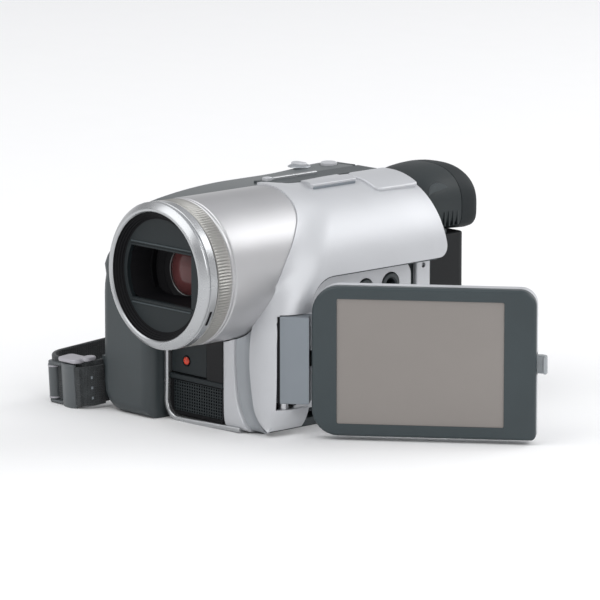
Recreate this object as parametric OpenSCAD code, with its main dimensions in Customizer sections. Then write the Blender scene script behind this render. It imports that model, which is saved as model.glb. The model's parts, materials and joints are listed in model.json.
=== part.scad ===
// Compact tape camcorder: fold-out screen on its left, hand strap and tape door on its right.
// Frame: lens looks along -Y, +Z up, origin at the mouth of the tripod socket in the base.

/* [Casing] */
// Half of the casing's width
half_w = 35.5; // [35:0.1:36]
// Height of the casing's crown above the base
crown_z = 70; // [69.5:0.1:70.5]
// Thickness of the casing walls
wall = 2; // [1.8:0.1:2.2]
// Front of the casing
front_y = -35; // [-35.5:0.1:-35]
// Rear edge of the side shells
shell_end_y = 36; // [36:0.1:36.2]

/* [Lens] */
// Sideways place of the optical axis
lens_x = 9; // [8.8:0.1:9.2]
// Height of the optical axis
lens_z = 49; // [48.8:0.1:49.2]
// Front rim of the lens ring
lens_front_y = -60; // [-62:0.5:-60]
// Outer radius of the front ring
ring_r = 22.1; // [22:0.1:22.4]
// Radius of the filter thread
filter_r = 18.5; // [18.3:0.1:18.6]
// Radius of the inner lens unit
tube_r = 14.2; // [13.9:0.1:14.2]

/* [Screen] */
// Direction of the opened screen, from straight left toward the rear
lcd_angle = 40; // [10:5:50]
// Distance from the swing hinge to the screen panel
lcd_gap = 8.9; // [8.7:0.1:9.2]
// Length of the screen panel
lcd_len = 66.5; // [64:0.5:68]
// Height of the screen panel
lcd_h = 45; // [44:0.2:45]
// Thickness of the screen panel
lcd_t = 8; // [7.6:0.1:8]
// Height of the tilt axis
lcd_z = 23.9; // [23.5:0.1:24]

/* [Tape deck] */
// Cassette length
tape_l = 66; // [65:0.5:66]
// Cassette height as it stands in the deck
tape_h = 48; // [46:0.5:48]
// Cassette thickness
tape_t = 12.2; // [11:0.1:12.2]

/* [Finder] */
// Sideways centre of the eyecup
eye_x = 7.5; // [7:0.1:8]
// Half width of the eyecup
eye_rx = 17.5; // [16:0.5:17.5]
// Front-back place of the tilt axis
eye_hinge_y = 44.5; // [44.3:0.1:45]
// Height of the tilt axis
eye_hinge_z = 61.5; // [61:0.1:61.5]

/* [Battery] */
// Front-back depth of the battery
batt_d = 15.7; // [14:0.1:18]

/* [Hidden] */
$fn = 64;
gap = 0.2;          // joint line between neighbouring shells
fit = 0.06;         // radial clearance of a running fit
big = 200;

silver = [0.80, 0.81, 0.83];
chrome = [0.74, 0.75, 0.77];
slate = [0.24, 0.27, 0.28];
black = [0.06, 0.06, 0.07];
glass = [0.30, 0.16, 0.20];
steel = [0.60, 0.61, 0.63];

// swing hinge of the screen
hinge_x = 31.5;
hinge_y = -29;
// recess that takes the closed screen
recess_x = 25.5;
recess_top = 47;
recess_front = -21.5;
// barrel end and wing front run along one slanted line
seam_top_y = -17;
seam_slope = 0.571;
// joint between grip shell and tape door
door_y0 = -31.3;
door_z0 = 8;
door_z1 = 59.5;
door_pin_x = -33.8;
door_pin_z = 6.6;
deck_x = -15.2;
finder_floor = 50.8;
dial_x = -24;
dial_z = 36;
zoom_at = [-19, 24];
photo_at = [-14.5, 32.3];
cover_y1 = 38.5;

function arc(cx, cy, r, a0, a1, n = 8) =
    [for (i = [0:n]) let (a = a0 + (a1 - a0) * i / n) [cx + r * cos(a), cy + r * sin(a)]];

// cross-section of the whole casing, seen from the rear; inset moves it inward
function casing(inset = 0) = concat(
    arc(10, crown_z - 25.5, 25.5 - inset, 90, 0, 18),
    arc(half_w - 9.5, 9.5, 9.5 - inset, 0, -90, 8),
    arc(8 - half_w, 8, 8 - inset, 270, 180, 8),
    arc(16 - half_w, crown_z - 16, 16 - inset, 180, 90, 12));

// rounded rectangle with its own radius at each corner: low-left, low-right, top-right, top-left
function plate(x0, y0, x1, y1, r) = concat(
    arc(x0 + r[0], y0 + r[0], r[0], 180, 270, 6), arc(x1 - r[1], y0 + r[1], r[1], 270, 360, 6),
    arc(x1 - r[2], y1 - r[2], r[2], 0, 90, 6), arc(x0 + r[3], y1 - r[3], r[3], 90, 180, 6));

// eyecup outline: an ellipse cut flat at the finder's floor
function eye(inset = 0) = [for (i = [0:47]) let (a = 360 * i / 48)
    [eye_x + (eye_rx - inset) * cos(a), max(57 + (13.6 - inset) * sin(a), finder_floor + inset)]];

module box(a, b) { translate(a) cube(b - a); }
module along_y(y0, y1) { translate([0, y1, 0]) rotate([90, 0, 0]) linear_extrude(y1 - y0) children(); }
module along_x(x0, x1) { translate([x0, 0, 0]) rotate([90, 0, 90]) linear_extrude(x1 - x0) children(); }
module rod_x(y, z, x0, x1, r) { translate([x0, y, z]) rotate([0, 90, 0]) cylinder(r = r, h = x1 - x0); }
module rod_y(x, z, y0, y1, r) { translate([x, y0, z]) rotate([-90, 0, 0]) cylinder(r = r, h = y1 - y0); }
module rod_z(x, y, z0, z1, r) { translate([x, y, z0]) cylinder(r = r, h = z1 - z0); }
module shell(inset = wall) { difference() { polygon(casing()); polygon(casing(inset)); } }
module lens_rod(y0, y1, r) { rod_y(lens_x, lens_z, y0, y1, r); }
module on_lens_axis() { translate([lens_x, 0, lens_z]) rotate([-90, 0, 0]) children(); }
// space behind the slanted seam line, shifted by d toward the rear
module behind_seam(d) {
    along_x(-big, big) polygon([
        [seam_top_y + d + (100 - 68) * seam_slope, 100], [seam_top_y + d - (68 + 30) * seam_slope, -30],
        [big, -30], [big, 100]]);
}
// local x runs along the opened screen, local y to its back
module at_screen() { translate([hinge_x, hinge_y, 0]) rotate([0, 0, lcd_angle]) children(); }
// solid of revolution about the optical axis from [radius, y] points
module turned(points) { on_lens_axis() rotate_extrude() polygon(points); }

module left_wing() {
    color(silver)
    difference() {
        union() {
            intersection() {
                along_y(-34, shell_end_y) union() {
                    intersection() { shell(); translate([2, recess_top]) square([60, 60]); }
                    translate([recess_x - wall, recess_top]) square([half_w - recess_x, wall]);
                }
                behind_seam(0);
            }
            intersection() {
                along_y(-33.4, recess_front) intersection() {
                    polygon(casing());
                    translate([26, 38.2]) square([20, recess_top - 38.2 + wall]);
                }
                behind_seam(0);
            }
        }
        lens_rod(-70, -12, ring_r + 0.3);
    }
}

module front_column() {
    color(silver)
    difference() {
        union() {
            translate([0, 0, 1]) linear_extrude(36.5) polygon([
                [11.2, front_y], [16, front_y], [18, front_y + 1.6], [21.5, front_y + 1.6],
                [24, front_y - 0.4], [28, front_y - 1], [32, front_y - 0.2], [35, front_y + 1.4],
                [34.5, -33.6], [27, -33.6], [26.3, door_y0], [11.2, door_y0]]);
            box([-11, -33, 3], [11.2, door_y0, 30]);
        }
        lens_rod(-70, 0, ring_r + 0.3);
        rod_z(hinge_x, hinge_y, 0, 50, 4.6);
    }
}

module sensor_panel() {
    color(black)
    difference() {
        box([-11, front_y - 1, 2.6], [11, -33.1, 29]);
        box([-10.2, front_y - 2, 3.2], [10.2, front_y + 0.8, 12.4]);
        rod_y(-5.2, 18, -40, -34.5, 1.3);
        lens_rod(-70, 0, ring_r + 0.3);
    }
}

module record_lamp() { color("red") rod_y(-5.2, 18, -36.3, -34.6, 1.2); }

module mic_grille() {
    color([0.12, 0.12, 0.13])
    difference() {
        box([-10.1, front_y - 1.3, 3.3], [10.1, front_y, 12.3]);
        for (i = [0:4]) box([-9, front_y - 2, 4.1 + 1.6 * i], [9, front_y + 1, 5 + 1.6 * i]);
    }
}

module grip_shell() {
    color(slate)
    difference() {
        along_y(-41, door_y0 - gap) intersection() {
            polygon(casing());
            translate([-half_w, 0]) square([half_w - 14.2, 58]);
        }
        along_y(-38.8, 0) intersection() {
            polygon(casing(wall + 0.2));
            translate([-half_w, 2.2]) square([half_w - 16, 53.8]);
        }
        lens_rod(-70, 0, ring_r + 0.4);
        rod_y(door_pin_x, door_pin_z, -36, 0, 0.8);
    }
}

module grip_trim() {
    color(chrome)
    difference() {
        box([-14, -37.2, 1.2], [-11.2, door_y0 - 0.2, 34]);
        lens_rod(-70, 0, ring_r + 0.3);
    }
}

module top_area() { translate([-half_w, door_z1 + 0.3]) square([half_w + 2 - gap, 20]); }

module top_cover() {
    color(slate)
    difference() {
        union() {
            along_y(-34.5, shell_end_y) intersection() {
                shell();
                top_area();
            }
            along_y(-36.5, -34.4) intersection() {
                polygon(casing(1.2));
                top_area();
            }
        }
        lens_rod(-70, -12, ring_r + 0.3);
        rod_z(zoom_at[0], zoom_at[1], 60, 80, 1.6 + fit);
        rod_z(photo_at[0], photo_at[1], 60, 80, 3);
    }
}

module speaker_cover() {
    color(silver)
    difference() {
        along_y(-3, 16) intersection() {
            difference() { polygon(casing(-1.2)); polygon(casing(-0.02)); }
            translate([3, 60]) square([14, 20]);
        }
        for (i = [0:7]) box([8, -1 + 2 * i, 60], [14, 2 * i, 80]);
    }
}

module top_step() {
    color(silver)
    along_y(19, 35) intersection() {
        difference() { polygon(casing(-1)); polygon(casing(-0.02)); }
        translate([5, 60]) square([18, 20]);
    }
}

module bottom_plate() {
    color(slate)
    difference() {
        union() {
            along_y(-34, shell_end_y) intersection() {
                shell(2.4);
                translate([-half_w, 0]) square([half_w + recess_x - 0.1, 4.3]);
            }
            rod_z(0, 0, 0, 7, 6.5);
            rod_z(0, -13.5, 0, 6, 4);
        }
        rod_z(0, 0, -1, 6, 4);
        rod_z(0, -13.5, -1, 4.5, 2.25);
        box([-23, 2, -1], [-17, 16, 4]);
        box([-11.1, -40, -1], [40, -31, 6]);
        box([-40, -40, -1], [-11, -31.4, 6]);
    }
}

module tripod_nut() {
    color("goldenrod")
    difference() {
        rod_z(0, 0, 0, 5.9, 3.98);
        rod_z(0, 0, -1, 5.2, 3.175);
    }
}

module rear_cover() {
    color(slate)
    difference() {
        along_y(shell_end_y + gap, cover_y1) difference() {
            polygon(casing());
            translate([24.6, -5]) square([60, 90]);
            translate([-9, finder_floor - 0.4]) square([60, 60]);
        }
        rod_y(door_pin_x, door_pin_z, 30, 37.6, 0.8);
        rod_y(dial_x, dial_z, 30, 45, 5.9 + fit);
        box([-29, 30, 16.4], [-19, 45, 20.6]);
    }
}

module side_panel() {
    color([0.70, 0.72, 0.73])
    difference() {
        box([recess_x - wall, recess_front, 4.4], [recess_x, shell_end_y, recess_top - 0.1]);
        rod_x(19.9, 39.1, 20, 30, 3.5);
        rod_x(9.5, 38.5, 20, 30, 2.4);
        box([recess_x - 1.2, -6, 13.6], [recess_x + 1, 12.4, 32.4]);
        box([20, -4, 16], [30, 8, 30]);
        box([20, 4.9, 7.6], [30, 30.1, 11.6]);
    }
}

module jacks() {
    color(black) {
        difference() {
            rod_x(19.9, 39.1, 18.5, 26, 3.4);
            rod_x(19.9, 39.1, 19.5, 27, 1.75);
        }
        difference() {
            rod_x(9.5, 38.5, 19, 26, 2.3);
            rod_x(9.5, 38.5, 20, 27, 1.25);
        }
    }
}

module rear_strip() {
    color(silver)
    difference() {
        box([recess_x + 0.05, 30.2, 4.4], [recess_x + 1, shell_end_y, recess_top - 0.1]);
        rod_x(33, 43.4, 25, 30, 1.4);
    }
}

module screw(r, h) {
    difference() {
        cylinder(r = r, h = h);
        for (a = [0, 90]) rotate([0, 0, a]) translate([-0.7 * r, -0.15 * r, -0.1]) cube([1.4 * r, 0.3 * r, 0.5]);
    }
}

module case_screws() {
    color(steel) {
        for (p = [[-28, -20], [-28, 30], [20, -26], [20, 30]]) translate([p[0], p[1], 0.3]) screw(1.5, 1.8);
        translate([recess_x + 0.8, 33, 43.4]) rotate([0, -90, 0]) screw(1.2, 0.7);
    }
}

module lens_barrel() {
    y0 = lens_front_y;
    color(chrome)
    difference() {
        turned([
            [19.3, y0], [20.2, y0], [ring_r, y0 + 1.6], [ring_r, y0 + 2.2], [ring_r - 0.4, y0 + 2.4],
            [ring_r, y0 + 2.6], [ring_r, y0 + 5.8], [20.5, y0 + 5.8], [20.5, -48.4], [ring_r, -48.2],
            [ring_r, -13], [20.2, -13], [20.2, -46], [17.2, -46], [17.2, -49.6], [19.3, -49.6]]);
        behind_seam(2.6);
    }
}

module lens_bezel() {
    y0 = lens_front_y;
    color(black)
    turned([
        [filter_r, y0 + 0.6], [19.2, y0 + 0.6], [19.2, y0 + 10], [15.4, y0 + 10], [15.4, y0 + 9],
        [16.6, y0 + 8.6], [16.6, y0 + 7], [17.3, y0 + 6.6], [17.3, y0 + 5.6], [17.9, y0 + 5.2],
        [filter_r, y0 + 5]]);
}

module lens_mask() {
    color([0.20, 0.21, 0.22])
    difference() {
        lens_rod(lens_front_y + 7.2, lens_front_y + 8.6, 16.3);
        box([lens_x - 13.5, -60, lens_z - 8], [lens_x + 13.5, -40, lens_z + 8]);
    }
}

// half section of a lens: front and rear curve rising toward the axis
function lens_points(r, y0, y1, bulge) = concat(
    [for (i = [0:8]) let (t = i / 8) [r * t, y0 - bulge * (1 - t * t)]],
    [for (i = [0:8]) let (t = 1 - i / 8) [r * t, y1 + bulge * (1 - t * t) * 0.3]]);

module front_lens() { color(glass) turned(lens_points(12.9, -48, -46, 1.8)); }

module lens_tube() {
    color(black)
    turned([[tube_r - 1.2, -49.4], [tube_r + 0.6, -49.4], [tube_r, -46], [tube_r, 0], [6, 0],
        [6, -1.5], [tube_r - 1.2, -1.5]]);
}

module guide_rods() {
    color(steel)
    for (s = [-1, 1]) rod_y(lens_x + 11.5 * s, lens_z, -40, -9, 0.75);
}

module iris_unit() {
    color([0.15, 0.15, 0.16])
    difference() {
        lens_rod(-8.9, -6.5, tube_r - 1.3);
        lens_rod(-20, 0, 5);
    }
}

module prism_block() {
    color([0.75, 0.85, 0.85])
    box([lens_x - 8, 0.5, lens_z - 8], [lens_x + 8, 15, lens_z + 8]);
}

module image_sensors() {
    color([0.15, 0.30, 0.20]) {
        box([lens_x - 6, 15.1, lens_z - 6], [lens_x + 6, 16.8, lens_z + 6]);
        for (s = [-1, 1]) translate([lens_x, 7.5, lens_z + 9 * s]) cube([12, 12, 1.7], center = true);
    }
}

module deck_chassis() {
    color(steel)
    difference() {
        box([deck_x, -30, 5], [deck_x + 1, 35, 57]);
        rod_x(0, 20, -20, 0, 11.2);
        for (y = [-12, 18]) rod_x(y, 42, -20, 0, 5);
    }
}

module main_board() {
    color("darkgreen") {
        box([-9.4, -12, 14], [-8, 34, 46]);
        for (i = [0:2]) box([-8.05, -9 + 15 * i, 17], [-7, 2 + 15 * i, 27]);
    }
}

module hinge_bracket() {
    color(steel)
    difference() {
        union() {
            box([recess_x - 1, door_y0, 7.6], [34, -24.6, 9.8]);
            box([recess_x - 1, door_y0, 7.6], [26.2, -24.6, 37.4]);
        }
        rod_z(hinge_x, hinge_y, 0, 50, 1.5);
    }
}

module hinge_pins() {
    color(steel) {
        rod_z(hinge_x, hinge_y, 7.6, 38, 1.5);
        rod_y(door_pin_x, door_pin_z, -35.5, 37.5, 0.75);
    }
}

module memory_card() { color([0.1, 0.15, 0.4]) box([-7, 5.6, 8.6], [24.6, 29.6, 10.7]); }

module focus_ring() {
    teeth = 60;
    color(chrome)
    difference() {
        translate([lens_x, -48.6, lens_z]) rotate([90, 0, 0]) linear_extrude(5.4)
            polygon([for (i = [0:4 * teeth - 1]) let (a = 90 * i / teeth, r = i % 4 < 2 ? ring_r : ring_r - 0.45)
                [r * cos(a), r * sin(a)]]);
        lens_rod(-70, 0, 20.5 + fit);
    }
}

module zoom_carriage() {
    color([0.2, 0.2, 0.22])
    difference() {
        lens_rod(-32, -26, 12.7);
        lens_rod(-40, 0, 10.2);
        for (s = [-1, 1]) rod_y(lens_x + 11.5 * s, lens_z, -40, 0, 0.75 + fit);
    }
}

module zoom_lens() { color(glass) turned(lens_points(10.1, -30.4, -27.6, 0.9)); }

function sleeve(i = 0) = [
    [-8 + i, finder_floor + i], [22 - i, finder_floor + i], [22 - i, 60.5 - i / 2], [18.5 - i / 2, 64.6 - i],
    [13, 66.6 - i], [-5 + i / 2, 66.6 - i], [-8 + i, 64 - i / 2]];

module finder_slider() {
    y = eye_hinge_y;
    color(slate)
    difference() {
        union() {
            along_y(20, y - 8) difference() { polygon(sleeve()); polygon(sleeve(1.2)); }
            for (x = [-8, 20.4]) {
                box([x, y - 8, finder_floor], [x + 1.6, y, 62]);
                rod_x(y, eye_hinge_z, x, x + 1.6, 5);
            }
            box([-8, y - 8, finder_floor], [22, y + 3, finder_floor + 1.4]);
        }
        rod_x(y, eye_hinge_z, -20, 40, 1.5 + fit);
    }
}

module finder_housing() {
    y = eye_hinge_y;
    z = eye_hinge_z;
    color(slate)
    difference() {
        union() {
            along_x(-6, 20) polygon(concat(arc(y, z, 6.4, 90, 200, 8),
                [[y + 4.6, finder_floor + 2.2], [y + 7.2, finder_floor + 0.6], [y + 7.2, 69.4]]));
            rod_x(y, z, -7.6, 21.6, 1.5);
            along_y(y + 6.6, y + 9) polygon(eye(1.4));
        }
        rod_y(eye_x, 59.5, y + 2, y + 12, 6.5);
        box([eye_x - 6, y + 1.6, 66.4], [eye_x + 6, y + 5.4, 72]);
    }
}

module eyecup() {
    y = eye_hinge_y;
    color([0.13, 0.14, 0.15])
    difference() {
        along_y(y + 9.05, y + 14.5) polygon(eye());
        along_y(y + 10.4, y + 16) polygon(eye(2.2));
        rod_y(eye_x, 59.5, y + 8, y + 12, 7);
    }
}

module eyepiece_lens() {
    color(glass)
    translate([eye_x, eye_hinge_y + 4, 59.5]) rotate([-90, 0, 0]) cylinder(r = 6.45, h = 4.5);
}

module dioptre_lever() {
    y = eye_hinge_y;
    color(black)
    box([eye_x - 3, y + 2, 66.7], [eye_x + 3, y + 5, 69.8]);
}

module zoom_lever() {
    color(silver) {
        rod_z(zoom_at[0], zoom_at[1], 65, crown_z + 0.5, 1.6);
        rod_z(zoom_at[0], zoom_at[1], crown_z + 0.3, crown_z + 1, 3.6);
        translate([zoom_at[0] - 3.5, zoom_at[1] - 2.2, crown_z + 0.99]) cube([7, 4.4, 0.8]);
    }
}

module photo_button() { color(silver) rod_z(photo_at[0], photo_at[1], 66.5, crown_z + 0.9, 2.7); }

module rec_button() { color([0.5, 0.1, 0.1]) rod_y(dial_x, dial_z, cover_y1 - 1.6, cover_y1 + 5, 4.6); }

module mode_dial() {
    color(black)
    difference() {
        union() {
            rod_y(dial_x, dial_z, cover_y1 - 2.5, cover_y1 + 0.4, 5.9);
            translate([dial_x, cover_y1 + 3.6, dial_z]) rotate([90, 0, 0]) linear_extrude(3.3)
                polygon([for (i = [0:119]) let (r = i % 4 < 2 ? 8.2 : 7.9) [r * cos(3 * i), r * sin(3 * i)]]);
        }
        rod_y(dial_x, dial_z, 30, 50, 4.9);
    }
}

module cassette_door() {
    color(slate)
    difference() {
        union() {
            along_y(door_y0, shell_end_y) intersection() {
                shell();
                translate([-half_w, door_z0]) square([14, door_z1 - door_z0]);
            }
            for (y = [[-30.8, -10], [10, 35.4]]) {
                rod_y(door_pin_x, door_pin_z, y[0], y[1], 1.65);
                box([-35.3, y[0], door_pin_z], [-33.5, y[1], door_z0 + 0.5]);
            }
        }
        rod_y(door_pin_x, door_pin_z, -40, 40, 0.75 + fit);
        box([-40, -8.4, door_z0 - 1], [-30, 8.4, door_z0 + 1.6]);
    }
}

module hand_pad() {
    color([0.16, 0.17, 0.18])
    along_x(-half_w - 2.2, -half_w - 0.05) polygon(plate(-20, 16, 28, 50, [8, 8, 8, 8]));
}

// strap line seen from above: out of the front lug, round the hand, back to the rear lug
function strap_line(o) = concat(
    [[-37.7 + o, -38]], arc(-41.7, -42, 4 + o, 360, 270, 6), arc(-50, -39, 7 + o, 270, 180, 8),
    arc(-38, 12, 19 + o, 180, 125, 8), [[-39.7 - o, 36], [-39.7 - o, 40]]);
function reversed(p) = [for (i = [len(p) - 1:-1:0]) p[i]];

module on_strap() { translate([0, -42, 0.4]) rotate([3.5, 0, 0]) translate([0, 42, 0]) children(); }

module strap_band() {
    color([0.2, 0.21, 0.22])
    on_strap() translate([0, 0, 0.9]) linear_extrude(13.6) polygon(concat(strap_line(0), reversed(strap_line(-2))));
}

module strap_buckle() {
    color([0.32, 0.34, 0.35])
    on_strap() difference() {
        translate([0, 0, 0.1]) linear_extrude(15.2) polygon(plate(-52, -49.4, -40.6, -43.2, [1.5, 1.5, 1.5, 1.5]));
        box([-60, -46.5, 0.7], [-30, -43.7, 14.7]);
    }
}

module strap_lugs() {
    color(slate)
    for (y = [[-40.6, -28], [33, 41]]) difference() {
        front = y[0] < 0;
        z = front ? 3 : 7.9;
        union() {
            box([-37.5, y[0], z], [-35.6, y[1], z + 13]);
            box([-36.5, max(y[0], door_y0 + 0.5), z + 5], [-35.45, min(y[1], 35.5), z + 11]);
        }
        box([-50, front ? y[0] + 1.4 : y[1] - 3.8, z + 1.4], [-30, front ? y[0] + 3.8 : y[1] - 1.4, z + 11.6]);
        box([-36.3, -50, 0], [-30, -20, 7.8]);
    }
}

module cassette_carrier() {
    color(steel)
    difference() {
        union() {
            box([-32.4, -30.6, 9.4], [-31.4, 35.4, 50]);
            box([-18.2, -30.6, 9.4], [-17.2, 35.4, 50]);
            box([-32.4, -30.6, 8.6], [-17.2, 35.4, 9.6]);
            box([-33.2, -8, door_pin_z - 0.7], [-31.4, 8, 9.2]);
            rod_y(door_pin_x, door_pin_z, -8, 8, 1.3);
        }
        rod_y(door_pin_x, door_pin_z, -40, 40, 0.75 + fit);
        for (y = [-12, 18]) rod_x(y, 34, -20, -10, 6);
    }
}

module cassette() {
    x0 = -31.1;
    z0 = 9.8;
    color([0.10, 0.10, 0.12])
    difference() {
        box([x0, -30.6, z0], [x0 + tape_t, -30.6 + tape_l, z0 + tape_h - 2]);
        for (y = [-12, 18]) rod_x(y, 34, x0 + 2, 0, 4);
        box([x0 + 2, -24, z0 + tape_h - 8], [x0 + tape_t - 2, 29, z0 + tape_h]);
    }
}

module battery() {
    color([0.11, 0.11, 0.12])
    translate([0, 0, 3]) linear_extrude(47.5)
        polygon(plate(-13.5, cover_y1 + 0.3, 23.4, cover_y1 + batt_d + 0.3, [0.8, 0.8, 3, 3]));
}

module battery_release() {
    color(black)
    difference() {
        union() {
            box([-26, cover_y1 - 1.9, 16.8], [-22, cover_y1 + 0.4, 20.2]);
            box([-27.4, cover_y1 + 0.3, 15.6], [-20.6, cover_y1 + 1.7, 21.4]);
        }
        for (i = [0:2]) box([-25.5 + 1.2 * i, cover_y1 + 1.3, 15], [-25 + 1.2 * i, cover_y1 + 2, 22]);
    }
}

module eject_lever() {
    color(black)
    difference() {
        union() {
            box([-22.6, 3, 0.4], [-17.4, 9, 3]);
            box([-24, 2, 2.8], [-16.4, 11, 4]);
        }
        for (i = [0:2]) box([-24, 4 + 1.6 * i, 0.2], [-16, 4.7 + 1.6 * i, 0.8]);
    }
}

module hinge_arm() {
    color([0.66, 0.68, 0.69])
    difference() {
        union() {
            rod_z(hinge_x, hinge_y, lcd_z - 13.5, lcd_z + 13.5, 4);
            at_screen() {
                box([2.2, -3.2, lcd_z - 13.2], [lcd_gap - 0.6, 3.2, lcd_z + 13.2]);
                rod_x(0, lcd_z, 5, lcd_gap + 5, 2.4);
            }
        }
        rod_z(hinge_x, hinge_y, 0, 60, 1.5 + fit);
    }
}

// panel outline: generous corners at the hinge end, a tight one low on the free end
function screen_outline(i = 0) =
    plate(lcd_gap + i, lcd_z - lcd_h / 2 + i, lcd_gap + lcd_len - i, lcd_z + lcd_h / 2 - i,
        [8 - i, 1.6 + 0.01 * i, 5 - i, 8 - i]);
module panel_slab(y0, y1, i = 0) { along_y(y0, y1) polygon(screen_outline(i)); }

module lcd_bezel() {
    w = 0.5 * 49.6;
    cx = 41.15;
    color(slate)
    at_screen() difference() {
        panel_slab(-lcd_t / 2, -1);
        panel_slab(-lcd_t / 2 + 1, 0, 1.2);
        box([cx - w, -10, lcd_z - 18.8], [cx + w, 10, lcd_z + 18.8]);
        box([0, -3.4, lcd_z - 7], [lcd_gap + 6, 0, lcd_z + 7]);
        box([60, -3, lcd_z - 3.4], [90, 5, lcd_z + 3.4]);
    }
}

module lcd_back() {
    color(silver)
    at_screen() difference() {
        union() {
            difference() {
                panel_slab(-0.95, lcd_t / 2);
                panel_slab(-2, lcd_t / 2 - 1.1, 1.2);
            }
            box([lcd_gap + 0.2, -2.9, lcd_z - 6.5], [lcd_gap + 4.8, 3, lcd_z + 6.5]);
        }
        rod_x(0, lcd_z, 0, lcd_gap + 20, 2.4 + fit);
        box([70, -1.6, lcd_z - 3.1], [90, 2.1, lcd_z + 3.1]);
    }
}

module lcd_screen() {
    color([0.60, 0.57, 0.55])
    at_screen() box([16.5, -lcd_t / 2 + 0.4, lcd_z - 18.7], [65.8, -1.2, lcd_z + 18.7]);
}

module lcd_latch() {
    color([0.6, 0.6, 0.6])
    at_screen() {
        x1 = lcd_gap + lcd_len;
        box([x1 - 3.4, -1.2, lcd_z - 2.8], [x1 + 3, 1.8, lcd_z + 2.8]);
        box([x1 + 2, -2.6, lcd_z - 2.8], [x1 + 3.2, 1.8, lcd_z + 2.8]);
    }
}

module head_drum() {
    color(steel)
    difference() {
        rod_x(0, 20, -16.4, -10.6, 10.85);
        rod_x(0, 20, -17, -15.4, 3);
    }
}

module terminal_cover() {
    color([0.68, 0.70, 0.71]) {
        box([recess_x - 0.9, -5.05, 14], [recess_x + 0.2, 12, 32]);
        rod_z(recess_x - 0.35, -5.05, 14, 32, 0.55);
    }
}

left_wing();
front_column();
sensor_panel();
record_lamp();
mic_grille();
grip_shell();
grip_trim();
top_cover();
speaker_cover();
top_step();
bottom_plate();
tripod_nut();
rear_cover();
side_panel();
jacks();
rear_strip();
case_screws();
lens_barrel();
lens_bezel();
lens_mask();
front_lens();
lens_tube();
guide_rods();
iris_unit();
prism_block();
image_sensors();
deck_chassis();
main_board();
hinge_bracket();
hinge_pins();
memory_card();
focus_ring();
zoom_carriage();
zoom_lens();
finder_slider();
finder_housing();
eyecup();
eyepiece_lens();
dioptre_lever();
zoom_lever();
photo_button();
rec_button();
mode_dial();
cassette_door();
hand_pad();
strap_band();
strap_buckle();
strap_lugs();
cassette_carrier();
cassette();
battery();
battery_release();
eject_lever();
hinge_arm();
lcd_bezel();
lcd_back();
lcd_screen();
lcd_latch();
head_drum();
terminal_cover();
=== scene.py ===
import json
import math

import bmesh
import bpy
from mathutils import Matrix, Vector


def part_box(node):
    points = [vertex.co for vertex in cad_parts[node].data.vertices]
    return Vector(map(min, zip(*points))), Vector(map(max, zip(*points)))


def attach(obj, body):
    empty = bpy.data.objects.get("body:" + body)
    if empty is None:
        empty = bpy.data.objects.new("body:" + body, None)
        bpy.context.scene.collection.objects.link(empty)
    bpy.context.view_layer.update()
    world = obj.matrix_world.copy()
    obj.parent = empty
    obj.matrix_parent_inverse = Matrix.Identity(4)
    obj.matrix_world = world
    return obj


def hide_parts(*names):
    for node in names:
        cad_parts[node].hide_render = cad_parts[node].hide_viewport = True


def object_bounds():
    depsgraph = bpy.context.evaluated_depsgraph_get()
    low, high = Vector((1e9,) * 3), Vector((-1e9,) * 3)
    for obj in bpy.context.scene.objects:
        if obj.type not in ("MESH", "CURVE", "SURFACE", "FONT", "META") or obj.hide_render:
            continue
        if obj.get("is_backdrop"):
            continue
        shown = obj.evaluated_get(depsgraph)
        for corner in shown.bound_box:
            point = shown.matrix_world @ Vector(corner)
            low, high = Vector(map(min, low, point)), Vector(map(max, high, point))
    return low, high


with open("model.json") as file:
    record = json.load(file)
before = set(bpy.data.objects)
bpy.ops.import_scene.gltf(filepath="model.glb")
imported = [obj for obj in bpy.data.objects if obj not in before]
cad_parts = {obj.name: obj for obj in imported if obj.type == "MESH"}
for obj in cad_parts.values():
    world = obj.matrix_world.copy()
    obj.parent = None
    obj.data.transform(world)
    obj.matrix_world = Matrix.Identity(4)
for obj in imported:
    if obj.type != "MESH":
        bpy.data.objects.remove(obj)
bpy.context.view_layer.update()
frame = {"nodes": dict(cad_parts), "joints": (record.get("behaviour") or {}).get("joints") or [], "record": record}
MM = 0.001
scene = bpy.context.scene

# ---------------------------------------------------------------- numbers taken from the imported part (mm)
def box(node):
    low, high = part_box(node)
    return [v / MM for v in low], [v / MM for v in high]


def middle_of(node):
    """Centre of a node's box seen from above."""
    low, high = box(node)
    return (low[0] + high[0]) / 2, (low[1] + high[1]) / 2


JOINTS = {joint["name"]: joint for joint in frame["joints"]}
(_, F, _), (_, _, crown_z) = box("lens_barrel")     # F: front of the lens ring
RING = 22.1                                         # radius of the lens ring
LX, LZ = 9.0, crown_z - RING                        # optical axis
HX, HY, HZ = [v / MM for v in JOINTS["lcd_swing"]["pos_m"]]
tilt_axis = JOINTS["lcd_tilt"]["axis"]
SCREEN_ANGLE = math.atan2(tilt_axis[1], tilt_axis[0])
_, EY, EZ = [v / MM for v in JOINTS["finder_tilt"]["pos_m"]]
REAR_Y = box("left_wing")[1][1]                     # rear edge of the side shells
COVER_Y = box("rear_cover")[1][1]                   # back of the rear cover
ZX, ZY = middle_of("zoom_lever")
PX, PY = middle_of("photo_button")
FX, FZ = 7.5, 59.5                                  # middle of the finder
DIAL_X, DIAL_Z = -24, 36                            # mode dial
LAMP_AT = (-3.7, 18.6)                              # red lamp on the front
CROWN_X, CROWN_Z, CROWN_R = 10, 44.5, 25.5          # the round upper left of the casing: centre and radius
PANEL_Y = -35.4                                     # depth the front panel's pieces reach back to
BODY = "camera_body"


# ---------------------------------------------------------------- materials
def put(node, **values):
    """Sets inputs of a shader node; an underscore stands for a space in an input's name."""
    for name, value in values.items():
        node.inputs[name.replace("_", " ")].default_value = value


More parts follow.
